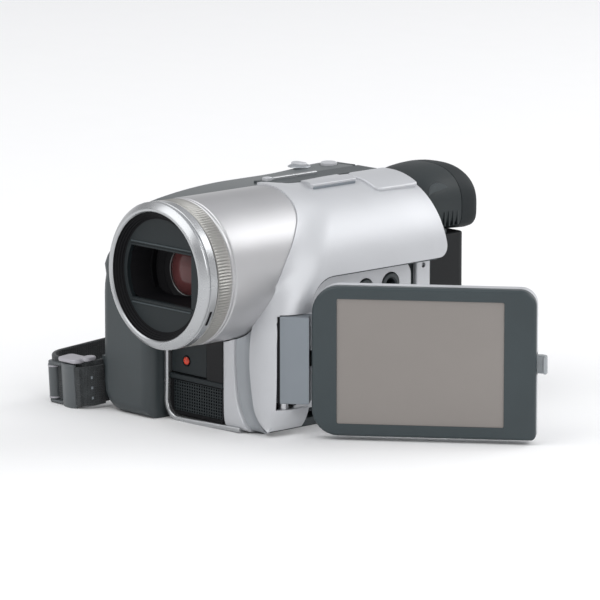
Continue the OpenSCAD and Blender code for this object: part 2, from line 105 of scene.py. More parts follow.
def add_bump(nt, height, strength, distance):
    bump = nt.nodes.new("ShaderNodeBump")
    put(bump, Strength=strength, Distance=distance)
    nt.links.new(height, bump.inputs["Height"])
    nt.links.new(bump.outputs["Normal"], nt.nodes["Principled BSDF"].inputs["Normal"])


def material(name, color, rough, metallic=0.0, vary=0.08, scale=60, grain=0.0, grain_scale=2500,
             rough_vary=0.06, specular=0.5, stretch=None):
    m = bpy.data.materials.new(name)
    m.use_nodes = True
    nt = m.node_tree
    link = nt.links.new
    bsdf = nt.nodes["Principled BSDF"]
    put(bsdf, Metallic=metallic, Specular_IOR_Level=specular)
    source = nt.nodes.new("ShaderNodeTexCoord").outputs["Object"]
    if stretch:
        mapping = nt.nodes.new("ShaderNodeMapping")
        put(mapping, Scale=stretch)
        link(source, mapping.inputs["Vector"])
        source = mapping.outputs["Vector"]
    noise = nt.nodes.new("ShaderNodeTexNoise")
    put(noise, Scale=scale, Detail=4)
    link(source, noise.inputs["Vector"])
    ramp = nt.nodes.new("ShaderNodeValToRGB")
    for stop, k in ((0, 1 - vary), (1, 1 + vary)):
        ramp.color_ramp.elements[stop].position = 0.3 + 0.4 * stop
        ramp.color_ramp.elements[stop].color = [min(1, c * k) for c in color] + [1]
    link(noise.outputs["Fac"], ramp.inputs["Fac"])
    link(ramp.outputs["Color"], bsdf.inputs["Base Color"])
    spread = nt.nodes.new("ShaderNodeMapRange")
    put(spread, To_Min=max(0.02, rough - rough_vary), To_Max=rough + rough_vary)
    link(noise.outputs["Fac"], spread.inputs["Value"])
    link(spread.outputs["Result"], bsdf.inputs["Roughness"])
    if grain:
        fine = nt.nodes.new("ShaderNodeTexNoise")
        put(fine, Scale=grain_scale, Detail=2)
        link(source, fine.inputs["Vector"])
        add_bump(nt, fine.outputs["Fac"], grain, 0.00012)
    return m


def fabric(name, color, wave_scale, strength):
    m = material(name, color, 0.85, vary=0.25, scale=300, specular=0.25)
    nt = m.node_tree
    put(nt.nodes["Principled BSDF"], Sheen_Weight=0.25)
    where = next(n for n in nt.nodes if n.type == "TEX_COORD")
    weave = nt.nodes.new("ShaderNodeMath")
    weave.operation = "MAXIMUM"
    for i, direction in enumerate("YZ"):
        wave = nt.nodes.new("ShaderNodeTexWave")
        wave.bands_direction = direction
        put(wave, Scale=wave_scale, Distortion=0.4)
        nt.links.new(where.outputs["Object"], wave.inputs["Vector"])
        nt.links.new(wave.outputs["Fac"], weave.inputs[i])
    add_bump(nt, weave.outputs["Value"], strength, 0.0002)
    return m


SILVER = material("satin_silver", (0.54, 0.55, 0.57), 0.44, 0.35, vary=0.02, grain=0.10)
# darker copy of the satin silver; on the concave front band it stands partly for a greyer plastic and partly for
# painted shade
SILVER_DIM = material("satin_silver_shaded", (0.34, 0.36, 0.38), 0.34, 0.40, vary=0.03, grain=0.12)
CHROME = material("polished_barrel", (0.50, 0.50, 0.51), 0.38, 0.75, vary=0.02, rough_vary=0.03, grain=0.03)
RIM = material("polished_rim", (0.46, 0.47, 0.48), 0.28, 0.85, vary=0.02, rough_vary=0.03)
KNURL = material("knurled_ring", (0.33, 0.325, 0.31), 0.38, 0.70, vary=0.03, rough_vary=0.03)
SLATE = material("slate_plastic", (0.040, 0.050, 0.054), 0.46, vary=0.10, grain=0.35, grain_scale=3200)
SLATE_LIGHT = material("slate_top", (0.10, 0.112, 0.116), 0.42, 0.1, vary=0.08, grain=0.25)
BEZEL = material("bezel_slate", (0.030, 0.043, 0.048), 0.42, vary=0.08, grain=0.15, grain_scale=3200)
BLACK = material("gloss_black", (0.004, 0.004, 0.005), 0.26, vary=0.2, rough_vary=0.04, specular=0.18)
MATT = material("matt_black", (0.004, 0.004, 0.005), 0.62, vary=0.2, specular=0.15)
GRAPHITE = material("graphite_window", (0.010, 0.015, 0.017), 0.46, vary=0.12, grain=0.1, specular=0.28)
PANEL = material("light_panel", (0.34, 0.365, 0.38), 0.40, 0.15, vary=0.03, grain=0.15)
ARM = material("arm_grey", (0.22, 0.245, 0.27), 0.36, 0.35, vary=0.04, grain=0.12)
STEEL = material("brushed_steel", (0.55, 0.56, 0.58), 0.30, 0.95, vary=0.06, stretch=(1, 1, 20))
BRASS = material("brass", (0.72, 0.55, 0.25), 0.28, 0.95, vary=0.06)
GREEN = material("solder_mask", (0.02, 0.16, 0.07), 0.40, vary=0.2, scale=400)
RUBBER = material("eyecup_rubber", (0.018, 0.022, 0.024), 0.60, vary=0.10, grain=0.4, grain_scale=2600, specular=0.25)
HOOD = material("finder_slate", (0.022, 0.028, 0.030), 0.50, vary=0.10, grain=0.35, grain_scale=3000, specular=0.35)
BATTERY = material("battery_black", (0.009, 0.010, 0.011), 0.55, vary=0.12, grain=0.4, grain_scale=3000, specular=0.25)
SCREEN = material("screen_grey", (0.235, 0.215, 0.20), 0.32, vary=0.07, scale=14, rough_vary=0.04)
LAMP = material("lamp_red", (0.62, 0.05, 0.02), 0.25, vary=0.25, scale=700)
PRINT = material("print_white", (0.75, 0.76, 0.77), 0.5, vary=0.05)
TAPE = material("cassette_shell", (0.035, 0.035, 0.04), 0.45, vary=0.12, grain=0.2)
GLASS = material("coated_glass", (0.10, 0.034, 0.034), 0.12, vary=0.35, scale=90, rough_vary=0.02, specular=0.35)
RETAINER = material("dark_retainer", (0.10, 0.10, 0.10), 0.30, 0.8, vary=0.05)
CLEAR = material("clear_glass", (0.55, 0.64, 0.66), 0.06, vary=0.05, rough_vary=0.02)
put(CLEAR.node_tree.nodes["Principled BSDF"], Transmission_Weight=0.8)
BUCKLE = material("buckle_plastic", (0.085, 0.095, 0.10), 0.34, vary=0.08, grain=0.15)
# lighter copy of the buckle plastic: painted light, where light from above falls on the buckle's lip, ear and roller
# rings
BUCKLE_PAINTED_LIGHT = material("buckle_lip", (0.40, 0.39, 0.42), 0.36, 0.2, vary=0.06)
PAD = fabric("pad_cloth", (0.035, 0.037, 0.040), 700, 0.5)
WEBBING = fabric("strap_webbing", (0.040, 0.044, 0.046), 420, 0.8)


# ---------------------------------------------------------------- mesh helpers (all in mm)
def new_object(name, verts, faces, sharp=38):
    me = bpy.data.meshes.new(name)
    me.from_pydata([Vector(v) * MM for v in verts], [], faces)
    bm = bmesh.new()
    bm.from_mesh(me)
    bmesh.ops.remove_doubles(bm, verts=bm.verts, dist=2e-6)
    bmesh.ops.dissolve_degenerate(bm, edges=bm.edges, dist=1e-7)
    bmesh.ops.recalc_face_normals(bm, faces=bm.faces)
    bm.to_mesh(me)
    bm.free()
    o = bpy.data.objects.new(name, me)
    scene.collection.objects.link(o)
    shade(o, sharp)
    return o


def shade(o, sharp=38):
    o.data.shade_smooth()
    o.data.set_sharp_from_angle(angle=math.radians(sharp))


def place(o, mat, body, slot, *nodes):
    o.data.materials.clear()
    o.data.materials.append(mat)
    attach(o, body)
    if nodes:
        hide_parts(*nodes)
    even = o.modifiers.new("even", "WEIGHTED_NORMAL")
    even.keep_sharp = True


def black(o, mat, *nodes):
    """A fixed piece on the camera body."""
    place(o, mat, BODY, "black_plastic", *nodes)


def bake(o, sharp=38):
    """Applies the modifiers of o."""
    bpy.context.view_layer.update()
    got = bpy.data.meshes.new_from_object(o.evaluated_get(bpy.context.evaluated_depsgraph_get()))
    o.modifiers.clear()
    old, o.data = o.data, got
    bpy.data.meshes.remove(old)
    shade(o, sharp)


def cut(o, *cutters, sharp=38, solver="EXACT"):
    """Takes the cutters away from o and removes them."""
    for c in cutters:
        mod = o.modifiers.new("cut", "BOOLEAN")
        mod.object = c
        mod.operation = "DIFFERENCE"
        mod.solver = solver
    bake(o, sharp)
    if not o.data.vertices:
        raise SystemExit(f"cutting {o.name} left nothing")
    for c in cutters:
        bpy.data.objects.remove(c)


def bevel(o, width, segments=2, angle=40):
    mod = o.modifiers.new("edge", "BEVEL")
    mod.width = width * MM
    mod.segments = segments
    mod.limit_method = "ANGLE"
    mod.angle_limit = math.radians(angle)
    mod.harden_normals = True


def thicken(o, t):
    mod = o.modifiers.new("wall", "SOLIDIFY")
    mod.thickness = t * MM
    mod.offset = -1
    mod.use_quality_normals = True
    bake(o)


def grid_faces(n, m, wrap=False):
    last = m if wrap else m - 1
    return [(i * m + j, i * m + (j + 1) % m, (i + 1) * m + (j + 1) % m, (i + 1) * m + j)
            for i in range(n - 1) for j in range(last)]


def loft(name, rings, sharp=38, caps=True):
    """Closed loops with the same number of points, joined one to the next, with flat ends."""
    n, m = len(rings), len(rings[0])
    verts = [p for r in rings for p in r]
    faces = grid_faces(n, m, True)
    if caps:
        faces += [tuple(range(m)), tuple(range((n - 1) * m, n * m))]
    return new_object(name, verts, faces, sharp)


def closed_loft(name, rings, sharp):
    """Closed loops joined one to the next, and the last to the first."""
    n, m = len(rings), len(rings[0])
    faces = [(i * m + j, i * m + (j + 1) % m, (i + 1) % n * m + (j + 1) % m, (i + 1) % n * m + j)
             for i in range(n) for j in range(m)]
    return new_object(name, [p for r in rings for p in r], faces, sharp)


def spline(points, n):
    """n + 1 points along a smooth curve through the given ones."""
    pts = [Vector(p) for p in points]
    pts = [2 * pts[0] - pts[1]] + pts + [2 * pts[-1] - pts[-2]]
    out = []
    for k in range(n + 1):
        t = k / n * (len(pts) - 3)
        i = min(int(t), len(pts) - 4)
        t -= i
        a, b, c, d = pts[i:i + 4]
        out.append(0.5 * (2 * b + (c - a) * t + (2 * a - 5 * b + 4 * c - d) * t * t
                          + (3 * b - a - 3 * c + d) * t ** 3))
    return out


def patch(rows, nu, nv):
    """Dense grid of points on a smooth surface through rows of control points."""
    rows = [spline(r, nv) for r in rows]
    columns = [spline([r[j] for r in rows], nu) for j in range(nv + 1)]
    return [[columns[j][i] for j in range(nv + 1)] for i in range(nu + 1)]


def surface(name, grid, sharp=60):
    n, m = len(grid), len(grid[0])
    return new_object(name, [p for r in grid for p in r], grid_faces(n, m), sharp)


def arc(cx, cy, r, a0, a1, n=8):
    return [(cx + r * math.cos(math.radians(a0 + (a1 - a0) * i / n)),
             cy + r * math.sin(math.radians(a0 + (a1 - a0) * i / n))) for i in range(n + 1)]


def circle(cx, cy, r, n):
    return [(cx + r * math.cos(2 * math.pi * k / n), cy + r * math.sin(2 * math.pi * k / n)) for k in range(n)]


def plate(x0, y0, x1, y1, r, n=6):
    """Rounded rectangle; r is one radius or low-left, low-right, top-right, top-left."""
    a, b, c, d = r if isinstance(r, (tuple, list)) else (r, r, r, r)
    return (arc(x0 + a, y0 + a, a, 180, 270, n) + arc(x1 - b, y0 + b, b, 270, 360, n)
            + arc(x1 - c, y1 - c, c, 0, 90, n) + arc(x0 + d, y1 - d, d, 90, 180, n))


def casing(i=0.0):
    """Cross-section of the whole casing, the outline the CAD shells share."""
    return (arc(CROWN_X, CROWN_Z, CROWN_R - i, 90, 0, 24) + arc(26, 9.5, 9.5 - i, 0, -90, 10)
            + arc(-27.5, 8, 8 - i, 270, 180, 10) + arc(-19.5, 54, 16 - i, 180, 90, 16))


def ccw(poly):
    area = sum(a[0] * b[1] - b[0] * a[1] for a, b in zip(poly, poly[1:] + poly[:1]))
    return poly if area > 0 else poly[::-1]


def inset(poly, d):
    """Moves each side of a counter-clockwise outline inward by d."""
    out = []
    n = len(poly)
    clean = [Vector(p) for p in poly]
    for i in range(n):
        b = clean[i]
        j = i - 1
        while (b - clean[j]).length < 1e-5:
            j -= 1
        k = (i + 1) % n
        while (clean[k] - b).length < 1e-5:
            k = (k + 1) % n
        e, f = (b - clean[j]).normalized(), (clean[k] - b).normalized()
        u, v = Vector((-e.y, e.x)), Vector((-f.y, f.x))
        out.append(b + (u + v) * (d / max(0.35, 1 + u.dot(v))))
    return out


def clip(poly, axis, limit, keep_above=True):
    """Part of a convex outline on one side of a line x or y = limit."""
    out = []
    s = 1 if keep_above else -1
    for a, b in zip(poly, poly[1:] + poly[:1]):
        da, db = s * (a[axis] - limit), s * (b[axis] - limit)
        if da >= 0:
            out.append(tuple(a))
        if (da > 0 > db) or (da < 0 < db):
            t = da / (da - db)
            out.append(tuple(a[i] + t * (b[i] - a[i]) for i in range(2)))
    return out


def on_y(p, w):
    return (p[0], w, p[1])


def on_x(p, w):
    return (w, p[0], p[1])


def on_z(p, w):
    return (p[0], p[1], w)


def on_screen(p, w):
    """p runs along the open screen and up, w to its back."""
    c, s = math.cos(SCREEN_ANGLE), math.sin(SCREEN_ANGLE)
    return (HX + p[0] * c - w * s, HY + p[0] * s + w * c, p[1])


def up_screen(p, w):
    """p runs along the open screen and to its back, w up."""
    return on_screen((p[0], w), p[1])


def pillow(name, outline, w0, w1, r0, r1, axis, steps=5, sharp=38):
    """Prism from w0 to w1 along an axis, its two ends rounded over with radii r0 and r1."""
    poly = ccw([tuple(p) for p in outline])
    stations = []
    for k in range(steps + 1 if r0 > 0 else 1):
        a = math.pi / 2 * (k / steps if r0 > 0 else 1)
        stations.append((r0 * (1 - math.sin(a)), w0 + r0 * (1 - math.cos(a))))
    for k in range(steps + 1 if r1 > 0 else 1):
        a = math.pi / 2 * (k / steps if r1 > 0 else 0)
        stations.append((r1 * (1 - math.cos(a)), w1 - r1 * (1 - math.sin(a))))
    rings = [[axis(p, w) for p in (inset(poly, d) if d else poly)] for d, w in stations]
    return loft(name, rings, sharp)


def block(outline, w0, w1, axis):
    """Square-edged cutter."""
    return pillow("cutter", outline, w0, w1, 0, 0, axis)


def revolve(name, profile, n=128, axis=None, turn=None, sharp=30):
    """Closed profile of (radius, y) turned about the optical axis; turn(angle, r, y) may move a point."""
    cx, cz = axis or (LX, LZ)
    rings = []
    for k in range(n):
        a = 2 * math.pi * k / n
        turned = [turn(a, r, y) if turn else (r, y) for r, y in profile]
        rings.append([(cx + r * math.cos(a), y, cz + r * math.sin(a)) for r, y in turned])
    return closed_loft(name, rings, sharp)


def sweep(name, path, section, up=(0, -1, 0), sharp=50):
    """A closed section carried along a path; section points are (across, along up)."""
    pts = [Vector(p) for p in path]
    rings = []
    for i, p in enumerate(pts):
        t = (pts[min(i + 1, len(pts) - 1)] - pts[max(i - 1, 0)]).normalized()
        side = t.cross(Vector(up)).normalized()
        top = side.cross(t).normalized()
        rings.append([p + side * a + top * b for a, b in section])
    return loft(name, rings, sharp)


def cylinder(name, p, q, r, n=48):
    p, q = Vector(p), Vector(q)
    t = (q - p).normalized()
    side = t.orthogonal().normalized()
    top = t.cross(side)
    turns = [2 * math.pi * k / n for k in range(n)]
    ring = [side * r * math.cos(a) + top * r * math.sin(a) for a in turns]
    return loft(name, [[p + v for v in ring], [q + v for v in ring]])


def ring_bore(gap, end=0, n=96):
    """Cutter along the optical axis, a gap wider than the lens ring, from the front to y = end."""
    return cylinder("bore", (LX, -70, LZ), (LX, end, LZ), RING + gap, n)


def ramp_through(points, z):
    """Value at height z on straight lines through (height, value) points, highest first."""
    for (za, a), (zb, b) in zip(points, points[1:]):
        if z >= zb:
            return b + (a - b) * min(1, (z - zb) / (za - zb))
    return points[-1][1]


def smoother(t):
    t = min(1, max(0, t))
    return t * t * (3 - 2 * t)


# ---------------------------------------------------------------- silver left shell: wing and front column in one
def seam_y(z):
    """Front-back place of the line where the wing meets the barrel, at height z."""
    return ramp_through([(71.5, -14.6), (67, -16.1), (63.8, -18.1), (59, -22.3), (51.2, -28.6), (43.2, -32.6),
                         (38, -34.2), (33, -34.9), (21, -35.2), (8, -35.0), (0, -34.4)], z)


def column_edge(z):
    """Where the front column begins at height z."""
    return ramp_through([(38.5, 26.5), (35.5, 25.0), (32.8, 24.2), (27, 23.4), (21, 23.3), (14, 24.0), (9, 24.9),
                         (6.6, 25.5), (4, 27.2), (1.7, 30.6), (0.5, 31.5)], z)


def left_shell():
    rows = []
    outline = [(4.2, 70.0)] + arc(CROWN_X, CROWN_Z, CROWN_R, 90, 10, 8)
    outline += [(35.5, 44.5), (35.5, 40), (35.5, 34), (35.4, 27), (35.2, 20), (34.9, 13), (34.3, 8.2), (33.4, 5.6),
                (32.2, 3.4), (31.0, 1.9)]
    for cx, cz in outline:
        a = math.atan2(cz - LZ, cx - LX)
        column = smoother((50 - cz) / 15)
        r = RING + 0.35
        sx, sz = LX + r * math.cos(a), LZ + r * math.sin(a)
        if cx < 9:
            sx, sz = cx, LZ + r
        if cz < 38:
            sx = min(column_edge(cz), cx - 0.5)
            sz = cz
        elif cz < 46:
            t = (46 - cz) / 8
            sx, sz = sx + (26.3 - sx) * smoother(t), sz + (cz - sz) * smoother(t)
        sy = seam_y(sz)
        reach = 13 - 4.5 * column
        row = []
        for k in range(9):
            t = k / 8
            wing = Vector((sx + (cx - sx) * smoother(t), sy + reach * t, sz + (cz - sz) * smoother(t)))
            q = math.pi / 2 * t
            post = Vector((sx + (cx - sx) * math.sin(q), sy - 0.6 * math.sin(2 * q) + reach * (1 - math.cos(q)),
                           sz + (cz - sz) * math.sin(q)))
            row.append(wing.lerp(post, column))
        for t in (0.035, 0.09, 0.2, 0.45, 0.7, 0.9, 1.0):
            y = sy + reach + (REAR_Y - sy - reach) * t
            tuck = 0.5 * smoother((t - 0.55) / 0.45) if cz > 45 else 0
            row.append(Vector((cx - tuck * (cx - CROWN_X) / CROWN_R, y, cz - tuck * (cz - CROWN_Z) / CROWN_R)))
        rows.append(row)
    shell = surface("left_shell", patch(rows, 110, 84))
    thicken(shell, 1.7)
    recess = block(plate(-21.2, -6, REAR_Y + 9, 46.9, (0.5, 0.5, 0.5, 9), 8), 23, 60, on_x)
    pocket_line = [(-32.6, 8.4), (-12, 8.4), (-12, 37.1), (-31.5, 37.1), (-32.6, 34.6)]
    pocket = block(pocket_line, 29.8, 60, on_x)
    heel = REAR_Y - 4
    tail_line = [(heel, 46)] + arc(heel, 50.9, 4, 270, 360, 10) + [(REAR_Y + 3, 50.9), (REAR_Y + 3, 46)]
    tail_corner = block(tail_line, 23, 60, on_x)
    foot = block(plate(18, -45, 44, 45, 1), -20, 1.1, on_z)
    cut(shell, recess, pocket, tail_corner, foot, sharp=45, solver="MANIFOLD")
    bevel(shell, 0.35, 2, 50)
    place(shell, SILVER, BODY, "silver_shell", "left_wing", "front_column")


left_shell()

# lip round the recess that takes the closed screen
lip_path = [(0, REAR_Y - 5.2, 46.95)] + [(0, y, z) for y, z in arc(-11.85, 37.55, 9.4, 90, 172, 12)]
lip_section = [(0.45, 25.3), (0.45, 34.6), (0.1, 35.05), (-0.45, 35.05), (-0.45, 25.3)]
lip = sweep("recess_lip", lip_path, lip_section, up=(1, 0, 0))
place(lip, SLATE, BODY, "slate_shell")

# dark walls of the hinge pocket
liner = pillow("pocket_liner", plate(-32.8, 8.2, -21.9, 37.2, 0.5, 3), 26.2, 29.7, 0, 0, on_x)
cut(liner, block(plate(-32.2, 8.9, -10, 36.7, 0.4, 3), 26.9, 60, on_x))
black(liner, MATT, "hinge_bracket")


# ---------------------------------------------------------------- lens barrel
def barrel_end(a, r, y):
    if y > -20:
        z = LZ + r * math.sin(a)
        if math.cos(a) > -0.3:
            return r, min(-14.0, seam_y(z) + 3.0)
        return r, -13.9 if z > 60 else -30.0
    return r, y


barrel = revolve("barrel_shell", [
    (20.4, -48.5), (21.6, -48.5), (21.95, -48.2), (21.95, -47.7), (21.7, -47.5), (21.7, -47.2), (22.0, -46.95),
    (22.1, -46.5), (22.1, -40), (22.1, -34), (22.1, -10), (20.4, -10)], 160, turn=barrel_end)
place(barrel, CHROME, BODY, "chrome_barrel", "lens_barrel")
ring = revolve("front_ring", [
    (19.2, F + 0.5), (19.5, F + 0.1), (20.1, F), (20.7, F + 0.25), (21.9, F + 1.5), (RING, F + 1.9),
    (RING, F + 2.3), (21.75, F + 2.5), (21.75, F + 2.8), (RING, F + 3.0), (RING, F + 5.4), (21.8, F + 5.7),
    (19.6, F + 5.7), (19.2, F + 5.2)], 160)
place(ring, RIM, BODY, "chrome_barrel")
slot_mark = pillow("ring_slot", plate(-56.3, -2.5, -55.4, 2.5, 0.4, 4), 0, 0.35, 0, 0.15, on_x)
slot_mark.data.transform(Matrix.Translation((LX * MM, 0, LZ * MM)) @ Matrix.Rotation(math.radians(118), 4, "Y")
                         @ Matrix.Rotation(math.radians(-90), 4, "Y") @ Matrix.Translation((21.85 * MM, 0, 0)))
black(slot_mark, MATT)


def knurl(a, r, y):
    if r > 21 and -53.5 < y < -49.1:
        return r - 0.28 * (0.5 + 0.5 * math.cos(150 * a)) ** 0.7, y
    return r, y


grip_ring = revolve("focus_grip", [
    (20.6, -54.0), (21.7, -54.0), (21.95, -53.8), (22.05, -53.4), (22.05, -52), (22.05, -50.4), (22.05, -49.2),
    (21.95, -48.85), (21.7, -48.65), (20.6, -48.65)], 900, turn=knurl)
place(grip_ring, KNURL, "focus_ring", "chrome_barrel", "focus_ring")

# stepped black ring inside the front rim
steps = [(19.15, F + 0.55)]
for k in range(4):
    r = 18.95 - 0.5 * k
    steps += [(r, F + 0.6 + 0.6 * k), (r - 0.16, F + 1.05 + 0.6 * k), (r - 0.36, F + 1.1 + 0.6 * k)]
steps += [(16.95, F + 3.0), (16.9, F + 4.6), (19.15, F + 4.6)]
black(revolve("lens_bezel_rings", steps, 128), MATT, "lens_bezel")

# face plate with its wide window: round at the left end, straight at the right
W0, W1 = LZ - 8.1, LZ + 7.6
face = revolve("face_plate", [(0.0, F + 3.0), (16.9, F + 3.0), (16.9, F + 4.4), (0.0, F + 4.4)], 96)


def window(grow, x1=13.2):
    r = 15.5 + grow
    low, high = (math.degrees(math.asin((z - LZ) / r)) for z in (W0 - grow, W1 + grow))
    return [(LX + x1 + grow, W0 - grow), (LX + x1 + grow, W1 + grow)] + arc(LX, LZ, r, 180 - high, 180 - low, 16)


cut(face, block(window(0), -60, -40, on_y))
bevel(face, 0.15, 2)
black(face, GRAPHITE, "lens_mask")
for z, side in ((W1, 1), (W0, -1)):
    for k, off in enumerate((0.45, 1.35)):
        half = math.sqrt(16.6 ** 2 - (z + side * off - LZ) ** 2) - 0.5
        bar_line = plate(LX - half, z + side * off - 0.22, LX + half, z + side * off + 0.22, 0.2, 3)
        edge = "top" if side > 0 else "low"
        bar = pillow(f"window_edge_{k}_{edge}", bar_line, F + 2.7, F + 3.2, 0.12, 0, on_y)
        black(bar, BEZEL if k else GRAPHITE)

# dark funnel behind the window
funnel = loft("window_funnel", [
    [(LX + x, F + 4.3, LZ + z) for x, z in plate(-15.9, -8.5, 14.6, 8.0, (6, 0.8, 0.8, 6), 5)],
    [(LX + x, F + 9.0, LZ + z) for x, z in plate(-14.6, -8.2, 13.8, 7.8, (6.5, 3.0, 3.0, 6.5), 5)],
    [(LX + x, F + 14.9, LZ + z) for x, z in plate(-13.0, -7.9, 12.6, 7.7, (7, 6.0, 6.0, 7), 5)]], caps=False)
thicken(funnel, 0.4)
black(funnel, MATT)

# lens seat, its bright retaining ring and the coated front element
seat = [(7.5, F + 12.9), (8.6, F + 12.5), (9.0, F + 12.1), (9.6, F + 12.1), (9.9, F + 12.6), (12.6, F + 12.0),
        (13.2, F + 12.3), (13.2, F + 14.6), (7.5, F + 14.6)]
black(revolve("lens_seat", seat, 96), MATT)
retainer = [(7.1, F + 12.75), (7.3, F + 12.6), (7.45, F + 12.8), (7.45, F + 13.4), (7.1, F + 13.4)]
place(revolve("retaining_ring", retainer, 96), RETAINER, BODY, "steel")
LENS_R = 7.05
dome = []
for k in range(11):
    a = math.radians(6 * k)
    dome.append((LENS_R * math.sin(a) / math.sin(math.radians(60)), F + 13.0 - 3.2 * (math.cos(a) - 0.5)))
dome += [(LENS_R, F + 14.2), (0, F + 14.2)]
place(revolve("front_element", dome, 96), GLASS, BODY, "lens_glass", "front_lens")


# ---------------------------------------------------------------- grip side
def sliced(o, axis, start, stop, step):
    """Adds cuts across a mesh so that it can be bent."""
    bm = bmesh.new()
    bm.from_mesh(o.data)
    w = start
    while w < stop:
        co, no = Vector((0, 0, 0)), Vector((0, 0, 0))
        co[axis], no[axis] = w * MM, 1
        bmesh.ops.bisect_plane(bm, geom=bm.verts[:] + bm.edges[:] + bm.faces[:], plane_co=co, plane_no=no)
        w += step
    bm.to_mesh(o.data)
    bm.free()


def outline_between(x0, x1, z0, z1, i=0.0):
    p = ccw([tuple(v) for v in casing(i)])
    for axis, lim, above in ((0, x0, True), (0, x1, False), (1, z0, True), (1, z1, False)):
        p = clip(p, axis, lim, above)
    return p


def soften_corner(o):
    """Toward the front the casing's upper left corner opens from radius 16 to radius 26."""
    for v in o.data.vertices:
        x, y, z = (c / MM for c in v.co)
        t = max(smoother((-6 - y) / 30), (1 - 0.6 * smoother((y - 8) / 27)) * smoother((z - 60) / 4))
        u, w = -9.5 - x, z - 44
        if u > 8:
            v.co.x += 1.3 * smoother((z - 37) / 9) * smoother((-33 - y) / 9) * MM
        if t > 0 and u > 0 and w > 0:
            c, n = u / math.hypot(u, w), w / math.hypot(u, w)
            reach = 10 * (c + n) + math.sqrt((10 * (c + n)) ** 2 + 56)
            if reach * c < 10:
                reach = 26 / n
            elif reach * n < 10:
                reach = 26 / c
            k = 1 + t * (26 / reach - 1)
            k -= 0.11 * smoother((-33 - y) / 9) * smoother(w / 9)
            v.co.x, v.co.z = (-9.5 - u * k) * MM, (44 + w * k) * MM


grip = pillow("grip_body", outline_between(-36, -12.9, 0, 59.8), -43.2, -31.6, 4.0, 0.3, on_y, steps=8)
sliced(grip, 2, 12, 59, 3)
soften_corner(grip)
hollow = block(outline_between(-36, -14.9, 2.2, 55, 2.2), -40.8, -20, on_y)
soften_corner(hollow)
cut(grip, ring_bore(0.5), hollow, solver="MANIFOLD")
bevel(grip, 0.4, 2)
place(grip, SLATE, BODY, "slate_shell", "grip_shell")

# bright trim line round the sensor panel
trim_path = ([(-11.9, -36.6, z) for z in (36, 30, 20, 12)]
             + [(x, -36.8, z) for x, z in arc(-6.7, 5.8, 5.2, 180, 270, 10)]
             + [(x, -36.8 + 0.06 * (x + 2), 0.6 + 0.02 * x) for x in (-2, 4, 9, 13, 17, 20)])
trim = sweep("panel_trim", trim_path, plate(-0.85, -2.8, 0.85, 0.8, (0.1, 0.1, 0.6, 0.6), 3))
place(trim, RIM, BODY, "chrome_barrel", "grip_trim")


# ---------------------------------------------------------------- sensor panel, lamp and microphone grille
base = pillow("panel_base", plate(-11.2, 1.3, 13.4, 34, (4.2, 1.0, 0.5, 0.5)), -35.6, -31.6, 0.2, 0, on_y)
cut(base, ring_bore(0.4))
black(base, MATT, "sensor_panel")
sensor = pillow("sensor_window", plate(-10.4, 14.6, 5.3, 27.6, 0.5), -36.1, PANEL_Y, 0.2, 0, on_y)
cut(sensor, cylinder("c", on_y(LAMP_AT, -40), on_y(LAMP_AT, -30), 1.75, 48))
black(sensor, GRAPHITE)
gloss = pillow("sensor_gloss", plate(5.5, 13.6, 13.2, 30.5, 0.5), -36.5, PANEL_Y, 0.5, 0, on_y)
black(gloss, BLACK)
ledge = pillow("panel_ledge", plate(-10.8, 12.6, 13.2, 14.2, 0.4), -36.9, PANEL_Y, 0.35, 0, on_y)
black(ledge, GRAPHITE)
lamp_ring = [(1.25, -36.2), (1.65, -36.35), (1.75, -36.1), (1.75, PANEL_Y), (1.25, PANEL_Y)]
black(revolve("lamp_ring", lamp_ring, 48, axis=LAMP_AT), BLACK)
lens = [(1.2 * math.sin(math.radians(a)), -36.15 - 0.45 * math.cos(math.radians(a))) for a in range(0, 91, 15)]
lens += [(1.2, -35.3), (0, -35.3)]
place(revolve("lamp_lens", lens, 32, axis=LAMP_AT), LAMP, BODY, "lamp_red", "record_lamp")


def perforated(name, x0, x1, z0, z1, nx, nz, radius, y0, y1):
    """Plate with a grid of round holes."""
    dx, dz = (x1 - x0) / nx, (z1 - z0) / nz
    ring = [(math.cos(math.pi / 4 * k), math.sin(math.pi / 4 * k)) for k in range(8)]
    edge = [(max(-1, min(1, c * 1.5)) * dx / 2, max(-1, min(1, s * 1.5)) * dz / 2) for c, s in ring]
    verts, faces = [], []
    for i in range(nx):
        for j in range(nz):
            cx, cz = x0 + (i + 0.5) * dx, z0 + (j + 0.5) * dz
            n = len(verts)
            for y in (y0, y1):
                verts += [(cx + ex, y, cz + ez) for ex, ez in edge]
                verts += [(cx + radius * c, y, cz + radius * s) for c, s in ring]
            for k in range(8):
                m = (k + 1) % 8
                faces.append((n + k, n + m, n + 8 + m, n + 8 + k))
                faces.append((n + 16 + k, n + 24 + k, n + 24 + m, n + 16 + m))
                faces.append((n + 8 + k, n + 8 + m, n + 24 + m, n + 24 + k))
    o = new_object(name, verts, faces, 30)
    bm = bmesh.new()
    bm.from_mesh(o.data)
    rim = [e for e in bm.edges if e.is_boundary]
    halfway = (y0 + y1) / 2 * MM
    back = {(round(v.co.x, 6), round(v.co.z, 6)): v for e in rim for v in e.verts if v.co.y > halfway}
    for e in rim:
        if all(v.co.y < halfway for v in e.verts):
            a, b = e.verts
            d, c = (back[(round(v.co.x, 6), round(v.co.z, 6))] for v in (a, b))
            bm.faces.new((a, b, c, d))
    bmesh.ops.recalc_face_normals(bm, faces=bm.faces)
    bm.to_mesh(o.data)
    bm.free()
    shade(o, 30)
    return o


mesh_plate = perforated("mic_mesh", -9.2, 12.6, 3.0, 12.2, 20, 10, 0.34, -36.25, -35.75)
black(mesh_plate, GRAPHITE, "mic_grille")
frame_out = plate(-10.7, 1.9, 13.3, 12.5, (3.8, 1.2, 0.3, 0.3))
grille_frame = pillow("mic_frame", frame_out, -36.4, -35.3, 0.25, 0, on_y)
cut(grille_frame, block(plate(-9.3, 2.9, 12.7, 12.3, 0.4), -40, -30, on_y))
black(grille_frame, MATT)
